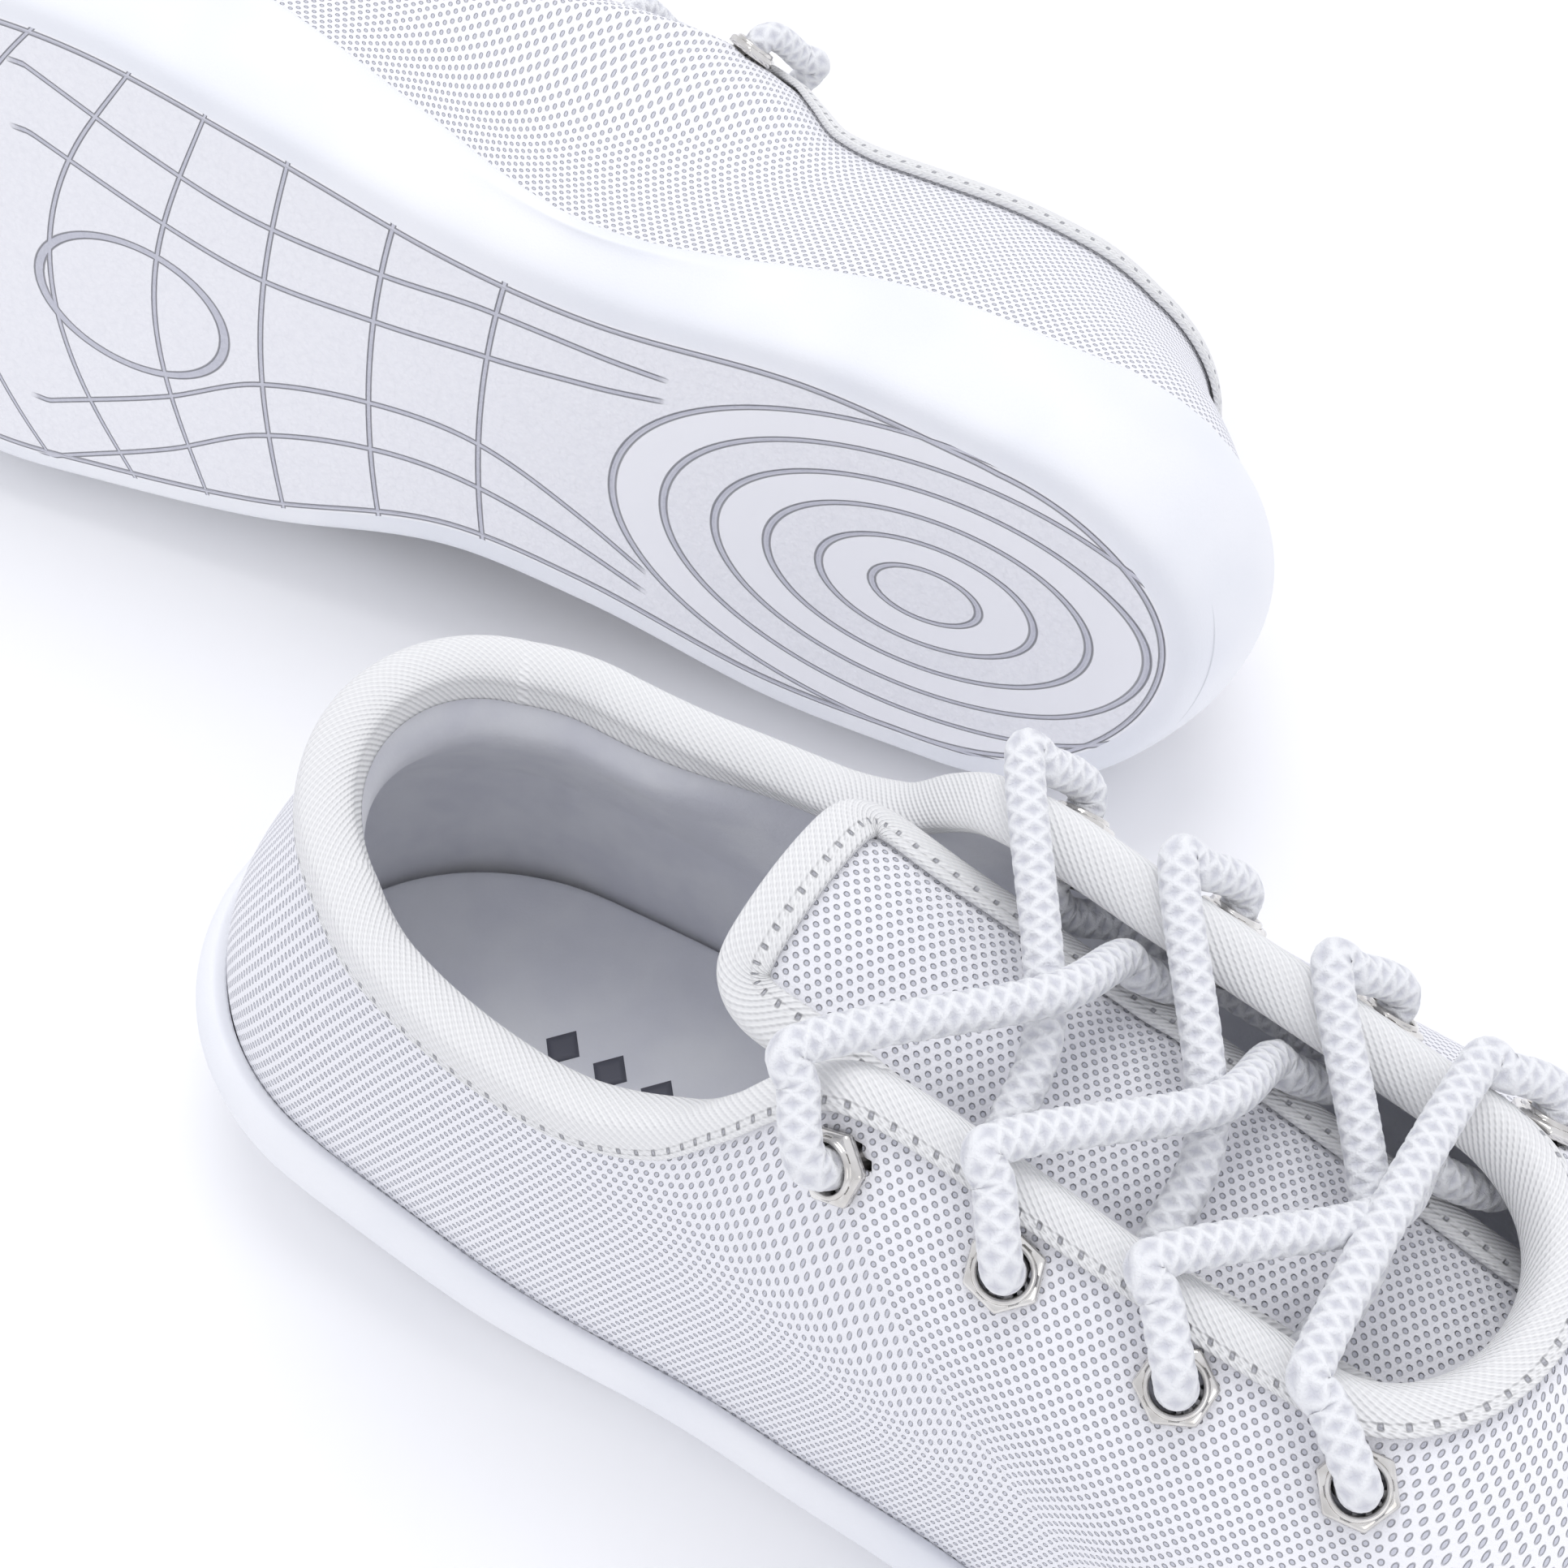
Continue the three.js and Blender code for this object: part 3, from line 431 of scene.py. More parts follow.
def disc(rings):
    """Closed surface over rings round the shoe. The first and last are folded onto the shoe's long axis."""
    count, around = rings.shape[:2]
    k, j = np.meshgrid(np.arange(count - 1), np.arange(around), indexing="ij")
    number = np.arange(count * around).reshape(count, around)
    twin = np.minimum(np.arange(around), around - 1 - np.arange(around))
    for end in (0, count - 1):
        number[end] = end * around + twin
    beside = (j + 1) % around
    quads = np.stack([number[k, j], number[k + 1, j], number[k + 1, beside], number[k, beside]], -1)
    quads = quads.reshape(-1, 4)
    points = rings.reshape(-1, 3)
    uv = points[quads][..., :2]
    used, packed = np.unique(quads, return_inverse=True)
    return points[used], packed.reshape(-1, 4), uv, used


# ---- Materials ----

def linear(text):
    """sRGB hex colour as linear red, green, blue and full alpha."""
    parts = [int(text[i:i + 2], 16) / 255 for i in (1, 3, 5)]
    return tuple([c / 12.92 if c <= 0.04045 else ((c + 0.055) / 1.055) ** 2.4 for c in parts] + [1.0])


def add(material, kind, inputs=(), **settings):
    """A shader node with its settings. Each input is a value, a node (its first output) or a socket."""
    made = material.node_tree.nodes.new("ShaderNode" + kind)
    for key, value in settings.items():
        setattr(made, key, value)
    for key, value in dict(inputs).items():
        if isinstance(value, bpy.types.Node):
            value = value.outputs[0]
        if isinstance(value, bpy.types.NodeSocket):
            material.node_tree.links.new(value, made.inputs[key])
        else:
            made.inputs[key].default_value = value
    return made


def finish(name, colour, roughness, **sockets):
    """Material with one Principled shader: colour, roughness and any other uniform values on its sockets."""
    material = bpy.data.materials.new(name)
    material.use_nodes = True
    shader = material.node_tree.nodes["Principled BSDF"]
    shader.inputs["Base Color"].default_value = linear(colour)
    shader.inputs["Roughness"].default_value = roughness
    for key, value in sockets.items():
        shader.inputs[key.replace("_", " ")].default_value = value
    return material, shader


def tint(material, shader, factor, first, second):
    """Colour that goes from first to second as factor goes from 0 to 1."""
    mixed = add(material, "Mix", {"Factor": factor, 6: linear(first), 7: linear(second)}, data_type="RGBA")
    material.node_tree.links.new(mixed.outputs[2], shader.inputs["Base Color"])


def relief(material, shader, height, millimetres, strength=1.0):
    """Bump of a height from 0 to 1, that many millimetres deep."""
    bump = add(material, "Bump", {"Height": height, "Strength": strength, "Distance": millimetres / 1000})
    material.node_tree.links.new(bump.outputs[0], shader.inputs["Normal"])


def sums(material, operation, a, b=0.0, c=0.0):
    return add(material, "Math", {0: a, 1: b, 2: c}, operation=operation)


def ramp(material, value, low, high):
    """0 below low and 1 above high, or the other way round, with a smooth step between."""
    swap = low > high
    made = add(material, "MapRange", {"Value": value, "From Min": min(low, high), "From Max": max(low, high),
                                      "To Min": float(swap), "To Max": float(not swap)},
               interpolation_type="SMOOTHSTEP")
    return made


def cloth_place(material):
    return add(material, "UVMap", uv_map="cloth")


def grain(material, size, detail=3.0):
    """Noise with grains of a size in millimetres, on Object coordinates."""
    place = add(material, "TexCoord").outputs["Object"]
    inputs = {"Vector": place, "Scale": 1000 / size, "Detail": detail, "Roughness": 0.6}
    return add(material, "TexNoise", inputs)


def air_mesh():
    """Warp-knitted polyester air mesh: staggered round holes 1.25 mm apart, matt, with a soft sheen. The
    holes are tinted darker as painted shade.
    """
    material, shader = finish("knitted air mesh", "#f3f4f8", 0.86, Sheen_Weight=0.25, Sheen_Roughness=0.5)
    place = cloth_place(material)
    pitch = (1.25, 1.95, 1.0)
    nearest = None
    for shift in (0.0, 0.5):
        cell = add(material, "VectorMath", {0: place, 1: pitch}, operation="DIVIDE")
        moved = add(material, "VectorMath", {0: cell, 1: (shift, shift, 0)}, operation="ADD")
        part = add(material, "VectorMath", {0: moved}, operation="FRACTION")
        centred = add(material, "VectorMath", {0: part, 1: (0.5, 0.5, 0)}, operation="SUBTRACT")
        sized = add(material, "VectorMath", {0: centred, 1: pitch}, operation="MULTIPLY")
        flat = add(material, "VectorMath", {0: sized, 1: (1, 1, 0)}, operation="MULTIPLY")
        away = add(material, "VectorMath", {0: flat}, operation="LENGTH").outputs["Value"]
        nearest = away if nearest is None else sums(material, "MINIMUM", nearest, away)
    hole = ramp(material, nearest, 0.36, 0.18)
    fuzz = sums(material, "MULTIPLY", grain(material, 0.35), 0.35)
    height = sums(material, "ADD", sums(material, "SUBTRACT", 1.0, hole), fuzz)
    relief(material, shader, height, 0.35)
    # Painted shade: the holes are tinted grey, though they are only a bump.
    tint(material, shader, sums(material, "MULTIPLY", hole, 0.85), "#f5f5f9", "#c3c5d0")
    return material


def twill_tape(name, stitch_at):
    """Cotton twill bias tape: diagonal ribs 1 mm apart, and a 2.3 mm lockstitch sunk along its lower edge.
    The troughs between ribs and the stitch holes are tinted darker as painted shade.
    """
    colour = "#f4f4f3"
    material, shader = finish(name, colour, 0.82, Sheen_Weight=0.2, Sheen_Roughness=0.5)
    place = add(material, "SeparateXYZ", {0: cloth_place(material)})
    along, down = place.outputs[0], place.outputs[1]
    slant = sums(material, "ADD", along, sums(material, "MULTIPLY", down, 1.3))
    rib = sums(material, "SINE", sums(material, "MULTIPLY", slant, 2 * math.pi))
    wave = sums(material, "MULTIPLY_ADD", rib, 0.5, 0.5)
    yarn = sums(material, "SINE", sums(material, "MULTIPLY", down, 2 * math.pi / 0.45))
    weave = sums(material, "ADD", wave, sums(material, "MULTIPLY_ADD", yarn, 0.12, 0.0))
    off = sums(material, "ABSOLUTE", sums(material, "SUBTRACT", down, stitch_at))
    line = ramp(material, off, 0.5, 0.15)
    step = sums(material, "FRACT", sums(material, "DIVIDE", along, 2.3))
    part = sums(material, "ABSOLUTE", sums(material, "SUBTRACT", step, 0.5))
    prick = sums(material, "MULTIPLY", line, ramp(material, part, 0.36, 0.44))
    sunk = sums(material, "ADD", sums(material, "MULTIPLY", line, 0.5), prick)
    relief(material, shader, sums(material, "SUBTRACT", sums(material, "MULTIPLY", weave, 0.4), sunk), 0.3)
    # Painted shade: the troughs between ribs and the stitch holes are tinted darker.
    shade = sums(material, "MULTIPLY", sums(material, "SUBTRACT", 1.0, wave), 0.16)
    dark = sums(material, "ADD", sums(material, "MULTIPLY", prick, 0.75), shade)
    tint(material, shader, dark, colour, "#a2a3ab")
    return material


def brushed_lining():
    """Brushed nylon lining: a faint nap over a fine knit, soft and light grey-white."""
    material, shader = finish("brushed lining", "#eeeff4", 0.95, Sheen_Weight=0.4, Sheen_Roughness=0.6)
    nap = grain(material, 0.5, 4)
    relief(material, shader, nap, 0.08)
    tint(material, shader, ramp(material, grain(material, 9, 2), 0.3, 0.7), "#f1f2f6", "#e6e7ee")
    return material


def footbed_cloth():
    """Smooth laminated cloth of the sockliner: a very fine weave, slightly cool white."""
    material, shader = finish("sockliner cloth", "#f0f1f5", 0.8, Sheen_Weight=0.2)
    relief(material, shader, grain(material, 0.4, 4), 0.06)
    tint(material, shader, ramp(material, grain(material, 14, 2), 0.3, 0.7), "#f3f4f7", "#e9eaf0")
    return material


def moulded_rubber():
    """Injection-moulded rubber sidewall: semi-matt, with the mould's fine spark-eroded grain."""
    material, shader = finish("moulded rubber", "#f2f3f6", 0.5)
    relief(material, shader, grain(material, 0.3, 3), 0.03)
    tint(material, shader, ramp(material, grain(material, 30, 2), 0.35, 0.7), "#f4f5f8", "#eceef3")
    return material


def tread_rubber():
    """The same rubber under the foot: pebbled like leather between thin grooves and smooth bands. The grooves
    and the low gaps between pebbles are tinted darker as painted shade.
    """
    material, shader = finish("tread rubber", "#f2f3f6", 0.55)
    read = {key: add(material, "Attribute", attribute_name=key).outputs["Fac"]
            for key in ("heel_ring", "cross_arc", "inner_line", "outer_line", "border", "forefoot", "pivot")}

    def near_whole(value, spacing):
        """Millimetres to the nearest whole value, for a value that grows by one over the spacing."""
        shifted = sums(material, "FRACT", sums(material, "ADD", value, 0.5))
        away = sums(material, "ABSOLUTE", sums(material, "SUBTRACT", shifted, 0.5))
        return sums(material, "MULTIPLY", away, spacing)

    def line_at(distance, outer=0.5, inner=0.22):
        return ramp(material, distance, outer, inner)

    def off_line(key):
        return sums(material, "ABSOLUTE", read[key])

    in_heel = ramp(material, read["heel_ring"], 6.3, 6.2)
    ringed = sums(material, "MULTIPLY", in_heel, ramp(material, read["heel_ring"], 0.6, 0.8))
    ring = sums(material, "MULTIPLY", line_at(near_whole(read["heel_ring"], 5.2)), ringed)
    ahead = ramp(material, read["cross_arc"], -0.5, -0.4)
    arc = sums(material, "MULTIPLY", line_at(near_whole(read["cross_arc"], 16.9)), ahead)
    pair = sums(material, "MAXIMUM", line_at(off_line("inner_line")), line_at(off_line("outer_line")))
    long = sums(material, "MULTIPLY", pair, read["forefoot"])
    groove = sums(material, "MAXIMUM", line_at(off_line("border")), line_at(off_line("pivot"), 0.7, 0.4))
    for other in (long, arc, ring):
        groove = sums(material, "MAXIMUM", groove, other)
    inside = ramp(material, read["border"], 0.0, 0.2)
    half_ring = sums(material, "FRACT", sums(material, "MULTIPLY", read["heel_ring"], 0.5))
    smooth = sums(material, "MULTIPLY", sums(material, "GREATER_THAN", half_ring, 0.5), in_heel)
    pebbled = sums(material, "MULTIPLY", inside, sums(material, "SUBTRACT", 1.0, smooth))
    place = add(material, "TexCoord").outputs["Object"]
    pebble, crumb = (
        add(material, "TexVoronoi", {"Vector": place, "Scale": 1000 / size, "Randomness": 1.0}, feature="F1")
        for size in (1.1, 0.55)
    )
    fine = sums(material, "MULTIPLY", crumb, 0.35)
    rough = sums(material, "ADD", sums(material, "MULTIPLY", pebble, 0.6), fine)
    deep = sums(material, "MULTIPLY", pebbled, 0.4)
    bumpy = sums(material, "MULTIPLY", sums(material, "SUBTRACT", 1.0, rough), deep)
    relief(material, shader, sums(material, "SUBTRACT", bumpy, sums(material, "MULTIPLY", groove, 1.5)), 0.6)
    # Painted shade in the low gaps between pebbles, where the bump is lowest.
    painted_pebble_shade = sums(material, "MULTIPLY", sums(material, "MULTIPLY", rough, pebbled), 0.2)
    # Painted shade: grooves and pebble gaps are tinted darker.
    dark = sums(material, "ADD", sums(material, "MULTIPLY", groove, 0.8), painted_pebble_shade)
    tint(material, shader, dark, "#f6f6f9", "#c2c3ce")
    return material


def braided_lace():
    """Round braided polyester lace: fuzzy strands crossing at a slant, 2 mm apart along it. The hollows
    between strands are tinted darker as painted shade.
    """
    material, shader = finish("braided lace", "#f7f8fb", 0.9, Sheen_Weight=0.5, Sheen_Roughness=0.5)
    place = add(material, "SeparateXYZ", {0: cloth_place(material)})
    along, round_ = place.outputs[0], place.outputs[1]
    strands = []
    for way in (1.0, -1.0):
        slant = sums(material, "MULTIPLY_ADD", along, 1 / 2.0, sums(material, "MULTIPLY", round_, way * 4.0))
        wave = sums(material, "SINE", sums(material, "MULTIPLY", slant, 2 * math.pi))
        strands.append(sums(material, "MULTIPLY_ADD", wave, 0.5, 0.5))
    crossing = sums(material, "MAXIMUM", strands[0], strands[1])
    fuzz = grain(material, 0.35, 5)
    height = sums(material, "ADD", crossing, sums(material, "MULTIPLY", fuzz, 1.1))
    relief(material, shader, height, 0.22)
    # Painted shade: darker where both families of strands are low, between them.
    tint(material, shader, sums(material, "SUBTRACT", 1.0, crossing), "#f9fafc", "#d9dae2")
    return material


def nickel():
    """Polished nickel plate on brass eyelets: a bright, slightly warm mirror with faint drawing marks."""
    material, shader = finish("polished nickel", "#e0ddd8", 0.16, Metallic=1.0)
    relief(material, shader, grain(material, 0.8, 2), 0.01)
    tint(material, shader, ramp(material, grain(material, 2.5, 2), 0.35, 0.7), "#e8e6e2", "#d2cfca")
    return material


def plain(name, colour, roughness, size, depth, **sockets):
    """Even material with a fine grain of a size and depth in millimetres and a slight change of tone."""
    material, shader = finish(name, colour, roughness, **sockets)
    relief(material, shader, grain(material, size), depth)
    paler = "#" + "".join(f"{min(int(colour[i:i + 2], 16) + 8, 255):02x}" for i in (1, 3, 5))
    tint(material, shader, grain(material, size * 12, 2), colour, paler)
    return material


MATERIALS = {
    "mesh": air_mesh(),
    "tape": twill_tape("twill bias tape", 3.7),
    "tongue_tape": twill_tape("tongue bias tape", 4.3),
    "lining": brushed_lining(),
    "footbed": footbed_cloth(),
    "rubber": moulded_rubber(),
    "tread": tread_rubber(),
    "lace": braided_lace(),
    "nickel": nickel(),
    "board": plain("fibre insole board", "#ddd3bf", 0.9, 0.8, 0.08),
    "stiffener": plain("thermoplastic stiffener", "#e7e8ee", 0.5, 0.6, 0.04),
    "stay": plain("eyestay canvas", "#eeeff3", 0.9, 0.5, 0.1),
    "foam": plain("polyurethane foam", "#f3f0e7", 1.0, 0.6, 0.2),
    "film": plain("clear tip film", "#eceef3", 0.25, 1.0, 0.01),
    "ink": plain("screen-print ink", "#5b5c66", 0.6, 0.4, 0.02),
}


# ---- Sole, board and sockliner ----

AROUND = 720


def round_the_shoe(count):
    """Angles at half steps, so that points pair up across the shoe and none is on its axis."""
    return 2 * np.pi * (np.arange(count) + 0.5) / count


def spine(x):
    """Middle line that the flat rings shrink to: the plan's x drawn in towards the middle."""
    return 22 + x * (SOLE_LENGTH - 44) / SOLE_LENGTH


def filled_rings(angle, inset, height, steps, inward):
    """Rings blended straight from the middle line to an outline, or back, at a height for each x."""
    edge_x, edge_y = outline(angle, inset)
    part = np.linspace(0, 1, steps)[:, None]
    part = part[::-1] if inward else part
    x = spine(edge_x) + (edge_x - spine(edge_x)) * part
    y = edge_y * part
    return vector(x, y, height(x))


def tread_marks(points):
    """Values that the tread's grooves follow, from each point's place under the foot: rings are ellipses
    round the heel's middle, arcs cross the ball, and two pairs of lines run along it."""
    x, y = points[..., 0], points[..., 1]
    heel = np.sqrt(((x - 40.5) / 7.5) ** 2 + (y / 3.9) ** 2)
    bow = 3.5 + 6.5 * smoothstep(130, 165, x)
    arc = (x + bow * (y / 28) ** 2 - 105.5) / 16.9
    middle = through([(78, -0.5), (105, -4.4), (122, -4.0), (140, -2.0), (155, 0.4), (175, 1.5)], x)
    inner = through([(78, 14.5), (90, 10.6), (105, 7.2), (121, 6.6), (140, 8.7), (155, 14.4), (175, 22)], x)
    outer_stations = [(78, 17.5), (90, 15.6), (105, 14.3), (121, 14.2), (140, 17.4), (155, 23.6), (175, 32)]
    outer = through(outer_stations, x)
    off = np.abs(y - middle)
    pivot = (np.sqrt(((x - 160) / 15) ** 2 + ((y - 1.5) / 10) ** 2) - 1) * 11
    return {
        "heel_ring": heel, "cross_arc": arc, "inner_line": off - inner, "outer_line": off - outer,
        "forefoot": smoothstep(79, 81, x) * (1 - smoothstep(176, 178, x)) * (heel > 6.0), "pivot": pivot,
    }


def unit_sole(side):
    """Sidewall profile: inset and height stations joined by smooth cubics, carried round the outline. The
    tread and the cup's floor are filled in to the shoe's middle line."""
    angle = round_the_shoe(AROUND)
    stations = [  # inset, share of the way up to the lip, drop under the lip
        (0, TREAD_INSET, 0, 0), (1, TREAD_INSET * 0.55, 0.08, 0), (2, TREAD_INSET * 0.14, 0.5, 0),
        (3, 0, 1, 4), (4, 0.6, 1, 1.4), (5, LIP * 0.58, 1, 0.1), (6, LIP, 1, 0.9),
    ]
    profile = through(stations, np.concatenate([[0, 0.04, 0.12], np.linspace(0.25, 6, 36)]))
    rings = []
    for inset, climb, drop in profile:
        x, y = outline(angle, inset)
        z = tread_height(x) + climb * (through(LIP_HEIGHT, x) - tread_height(x)) - drop
        rings.append(vector(x, y, z))
    wall = np.stack(rings)
    down = np.linspace(0, 1, 7)[1:, None, None]
    floor_edge = wall[-1].copy()
    floor_edge[:, 2] = floor_height(floor_edge[:, 0])
    cup = wall[-1] + (floor_edge - wall[-1]) * down
    flat = filled_rings(angle, TREAD_INSET, tread_height, 34, False)[:-1]
    floor = filled_rings(angle, LIP, floor_height, 8, True)[1:]
    everything = np.concatenate([flat, wall, cup, floor])
    points, quads, uv, used = disc(everything)
    marks = tread_marks(points)
    rim = len(flat) * AROUND
    edge = np.stack(outline(angle, TREAD_INSET), -1)
    away = np.full(len(everything) * AROUND, -4.0)
    for ring, start in zip(flat, range(0, rim, AROUND)):
        away[start:start + AROUND] = np.linalg.norm(ring[:, None, :2] - edge[None], axis=-1).min(axis=1)
    away[rim:rim + AROUND] = 0
    marks["border"] = away[used] - BORDER_LINE
    thing = piece(side, "unit_sole", points, quads, uv, MATERIALS["tread"], marks=marks)
    thing.data.materials.append(MATERIALS["rubber"])
    number = (used[quads].min(axis=1) >= rim).astype(np.int32)
    thing.data.polygons.foreach_set("material_index", number)
    return thing


def inserted(side, name, inset, low, high, material):
    """Flat piece in the cup, whose edge is a half circle between two heights over the cup's floor."""
    angle = round_the_shoe(360)
    middle, half = (low + high) / 2, (high - low) / 2
    bend = np.linspace(-np.pi / 2, np.pi / 2, 9)
    rings = [filled_rings(angle, inset + half, lambda x: floor_height(x) + low, 10, False)[:-1]]
    for turn in bend:
        x, y = outline(angle, inset + half * (1 - math.cos(turn)))
        rings.append(vector(x, y, floor_height(x) + middle + half * math.sin(turn))[None])
    top = filled_rings(angle, inset + half, lambda x: floor_height(x) + high, 24, True)[1:]
    rings.append(top)
    points, quads, uv, _ = disc(np.concatenate(rings))
    return piece(side, name, points, quads, uv, material)


# ---- Upper ----

def whole_face():
    """Angles round the shoe down the rows, and heights from the sole to the topline across the columns."""
    return round_the_shoe(420)[:, None], np.linspace(0, 1, 76)[None, :]


def face_uv(angle, v):
    """UV in millimetres: along the shoe by x on its sides and by arc length round its ends, and across by the
    arc length from the topline down, without its part along the shoe."""
    at = outer_face(angle, v)
    closed = np.concatenate([at, at[:1]])
    ends = smoothstep(0.8, 0.97, np.abs(np.cos(np.concatenate([angle, angle[:1] + 2 * np.pi]))))
    step = np.diff(closed, axis=0)
    blend = (ends[1:] + ends[:-1]) / 2
    side = np.where(np.sin(angle + np.pi / len(at)) >= 0, -1.0, 1.0)
    run = side * np.sqrt(step[..., 0] ** 2 + blend * (step[..., 1] ** 2 + step[..., 2] ** 2))
    along = np.concatenate([np.zeros((1,) + run.shape[1:]), np.cumsum(run, axis=0)])
    quarter = len(at) // 4
    along = along - along[quarter] + at[quarter, :, 0]
    lift = np.diff(closed, axis=1)
    rise = np.sqrt(lift[..., 1] ** 2 + lift[..., 2] ** 2 + ends[..., :1] * lift[..., 0] ** 2)
    down = np.cumsum(rise[:, ::-1], axis=1)[:, ::-1]
    down = np.concatenate([down, np.zeros((len(down), 1))], axis=1)
    return np.stack([along, down], -1)


def clear_of(eyelets, radius):
    """Keeps the quads that are not wholly within a radius of an eyelet's axis."""
    def keep(corners):
        kept = np.ones(len(corners), bool)
        for spot in eyelets:
            off = corners - spot["at"]
            away = np.linalg.norm(off - (off @ spot["out"])[..., None] * spot["out"], axis=-1)
            close = np.abs(off @ spot["out"]) < 12
            kept &= ~np.all((away < radius) & close, axis=1)
        return kept
    return keep


def face_layer(side, name, angle, v, outer, inner, wrap, material, eyelets=(), uv=None):
    """Layer of the upper between two depths under the outer face."""
    a, b = under(angle, v, outer), under(angle, v, inner)
    keep = clear_of(eyelets, 3.4) if eyelets else None
    points, quads, corner_uv = shell(a, b, wrap, keep, uv)
    return piece(side, name, points, quads, corner_uv, MATERIALS[material])


def eyelet_stations():
    """The eyelets from collar to toe on each side: place, axis out of the face and direction down it."""
    spots = []
    for way, side in (("lateral", 1), ("medial", -1)):
        for i in range(EYELETS):
            angle = angle_at(FIRST_EYELET + i * EYELET_PITCH, EYELET_SETBACK, side)
            at, out, down = face_frame(angle, face_at(angle, EYELET_SETBACK))
            spots.append({"name": f"{way}_{i + 1}", "at": at, "out": out, "down": down})
    return spots


def eyelet(side, spot, turned):
    """Turned profile of radius and height, where the flange's radius is a hexagon's with eased corners."""
    bore = EYELET_BORE / 2
    hexed = EYELET_ACROSS / 2
    top = EYELET_SEAT + FLANGE
    back = -STACK - BACK_SEAT
    roll = np.linspace(np.pi, 0, 8)
    profile = [(bore + 0.27 + 0.27 * math.cos(t), top + 0.1 + 0.34 * math.sin(t), 0) for t in roll]
    profile += [
        (bore + 0.62, top - 0.05, 0), (hexed * 0.86, top - 0.05, 1), (hexed * 0.92, top - 0.1, 1),
        (hexed * 0.98, top - 0.3, 1), (hexed, top - 0.5, 1), (hexed * 0.985, EYELET_SEAT, 1),
        (hexed * 0.9, EYELET_SEAT - 0.1, 1), (bore + EYELET_WALL, EYELET_SEAT, 0),
        (bore + EYELET_WALL, back, 0), (BACK_FLANGE_ACROSS / 2, back - 0.1, 0),
        (BACK_FLANGE_ACROSS / 2, back - BACK_FLANGE, 0), (bore, back - BACK_FLANGE, 0),
    ]
    radius, height, six = (np.array(column) for column in zip(*profile))
    angle = 2 * np.pi * np.arange(96) / 96
    sector = np.mod(angle, np.pi / 3) - np.pi / 6
    hexagon = np.minimum(math.cos(np.pi / 6) / np.cos(sector), 0.985)
    shape = 1 + six[None, :] * (hexagon[:, None] - 1)
    across = unit(np.cross(spot["out"], [0.3, 1, 0.2]))
    other = np.cross(spot["out"], across)
    turn = angle[:, None, None] + turned
    points = spot["at"] + (radius * shape)[..., None] * (np.cos(turn) * across + np.sin(turn) * other)
    points = points + height[None, :, None] * spot["out"]
    uv = np.zeros((97, len(radius) + 1, 2))
    quads, corner_uv = ring_solid(points, True, uv)
    return piece(side, f"eyelet_{spot['name']}", points, quads, corner_uv, MATERIALS["nickel"])


def tape_section(thickness, wall, drop, clearance):
    """Folded tape's section as depth and distance down: an outer leg swelling slightly, a half ellipse over
    the edge, an inner leg, and the same a wall nearer the edge on the way back."""
    over = wall + clearance
    outer_down = np.linspace(drop, 0, 12)
    swell = 0.22 * np.sin(np.pi * np.clip(outer_down / drop, 0, 1)) ** 0.7
    outer = [(-over - s, d) for s, d in zip(swell, outer_down)]
    middle, half = thickness / 2, thickness / 2 + over
    bend = np.linspace(np.pi, 0, 11)[1:-1]
    top = [(middle + half * math.cos(t), -over * 1.15 * math.sin(t)) for t in bend]
    inner_drop = drop * 0.5
    inside = [(thickness + over, d) for d in np.linspace(0, inner_drop, 8)]
    back = [
        (thickness + clearance, inner_drop), (thickness + clearance, 0.1),
        (thickness * 0.8, -clearance * 0.9), (thickness * 0.2, -clearance * 0.9),
        (-clearance, 0.1), (-clearance, drop),
    ]
    return np.array(outer + top + inside + back)


def section_uv(section, along, drop):
    """UV of a folded tape: length along it, and the way round its section measured so that the lower edge of
    its outer leg reads the drop."""
    steps = np.diff(np.concatenate([section, section[:1]]), axis=0)
    way = np.concatenate([[0], np.cumsum(np.linalg.norm(steps, axis=1))])
    return np.stack(np.broadcast_arrays(along[:, None], (drop + 1.2 - way)[None, :]), -1)


def topline_binding(side):
    """Tape folded over the topline. Its section is carried round the edge, and follows the face below it."""
    count = 900
    angle = round_the_shoe(count)
    section = tape_section(STACK, TAPE, TAPE_DROP, TAPE_GAP)
    depth, down = section[None, :, 0], section[None, :, 1]
    v = face_at(angle[:, None], np.maximum(down, 0))
    thick = depth + np.where(depth > STACK, padding(angle[:, None], v), 0)
    low = under(angle[:, None], v, thick)
    at, out, below = face_frame(angle, np.ones(count))
    high = at[:, None] - out[:, None] * depth[..., None] + below[:, None] * down[..., None]
    points = np.where((down <= 0)[..., None], high, low)
    edge = np.concatenate([at, at[:1]])
    along = np.concatenate([[0], np.cumsum(np.linalg.norm(np.diff(edge, axis=0), axis=1))])
    along *= round(along[-1] / 2.3) * 2.3 / along[-1]
    quads, uv = ring_solid(points, True, section_uv(section, along, TAPE_DROP))
    return piece(side, "topline_binding", points, quads, uv, MATERIALS["tape"])


# ---- Tongue ----

def tongue_crest(x):
    """Height of the tongue's middle: held under the facings' edges, then a straight rise to its tip."""
    second = FIRST_EYELET + EYELET_PITCH

    def held(at):
        return through(LATERAL_HEIGHT, at) - TONGUE_DEPTH - 1.2 * smoothstep(THROAT_AT - 22, TONGUE_ROOT, at)

    free = np.minimum((second - x) / (second - TONGUE_TIP), 1)
    start = held(np.float64(second))
    ease = np.where(free > 0.12, free - 0.06, np.clip(free, 0, 1) ** 2 / 0.24) / 0.94
    return np.where(free <= 0, held(x), start + (TONGUE_TIP_HEIGHT - start) * ease)


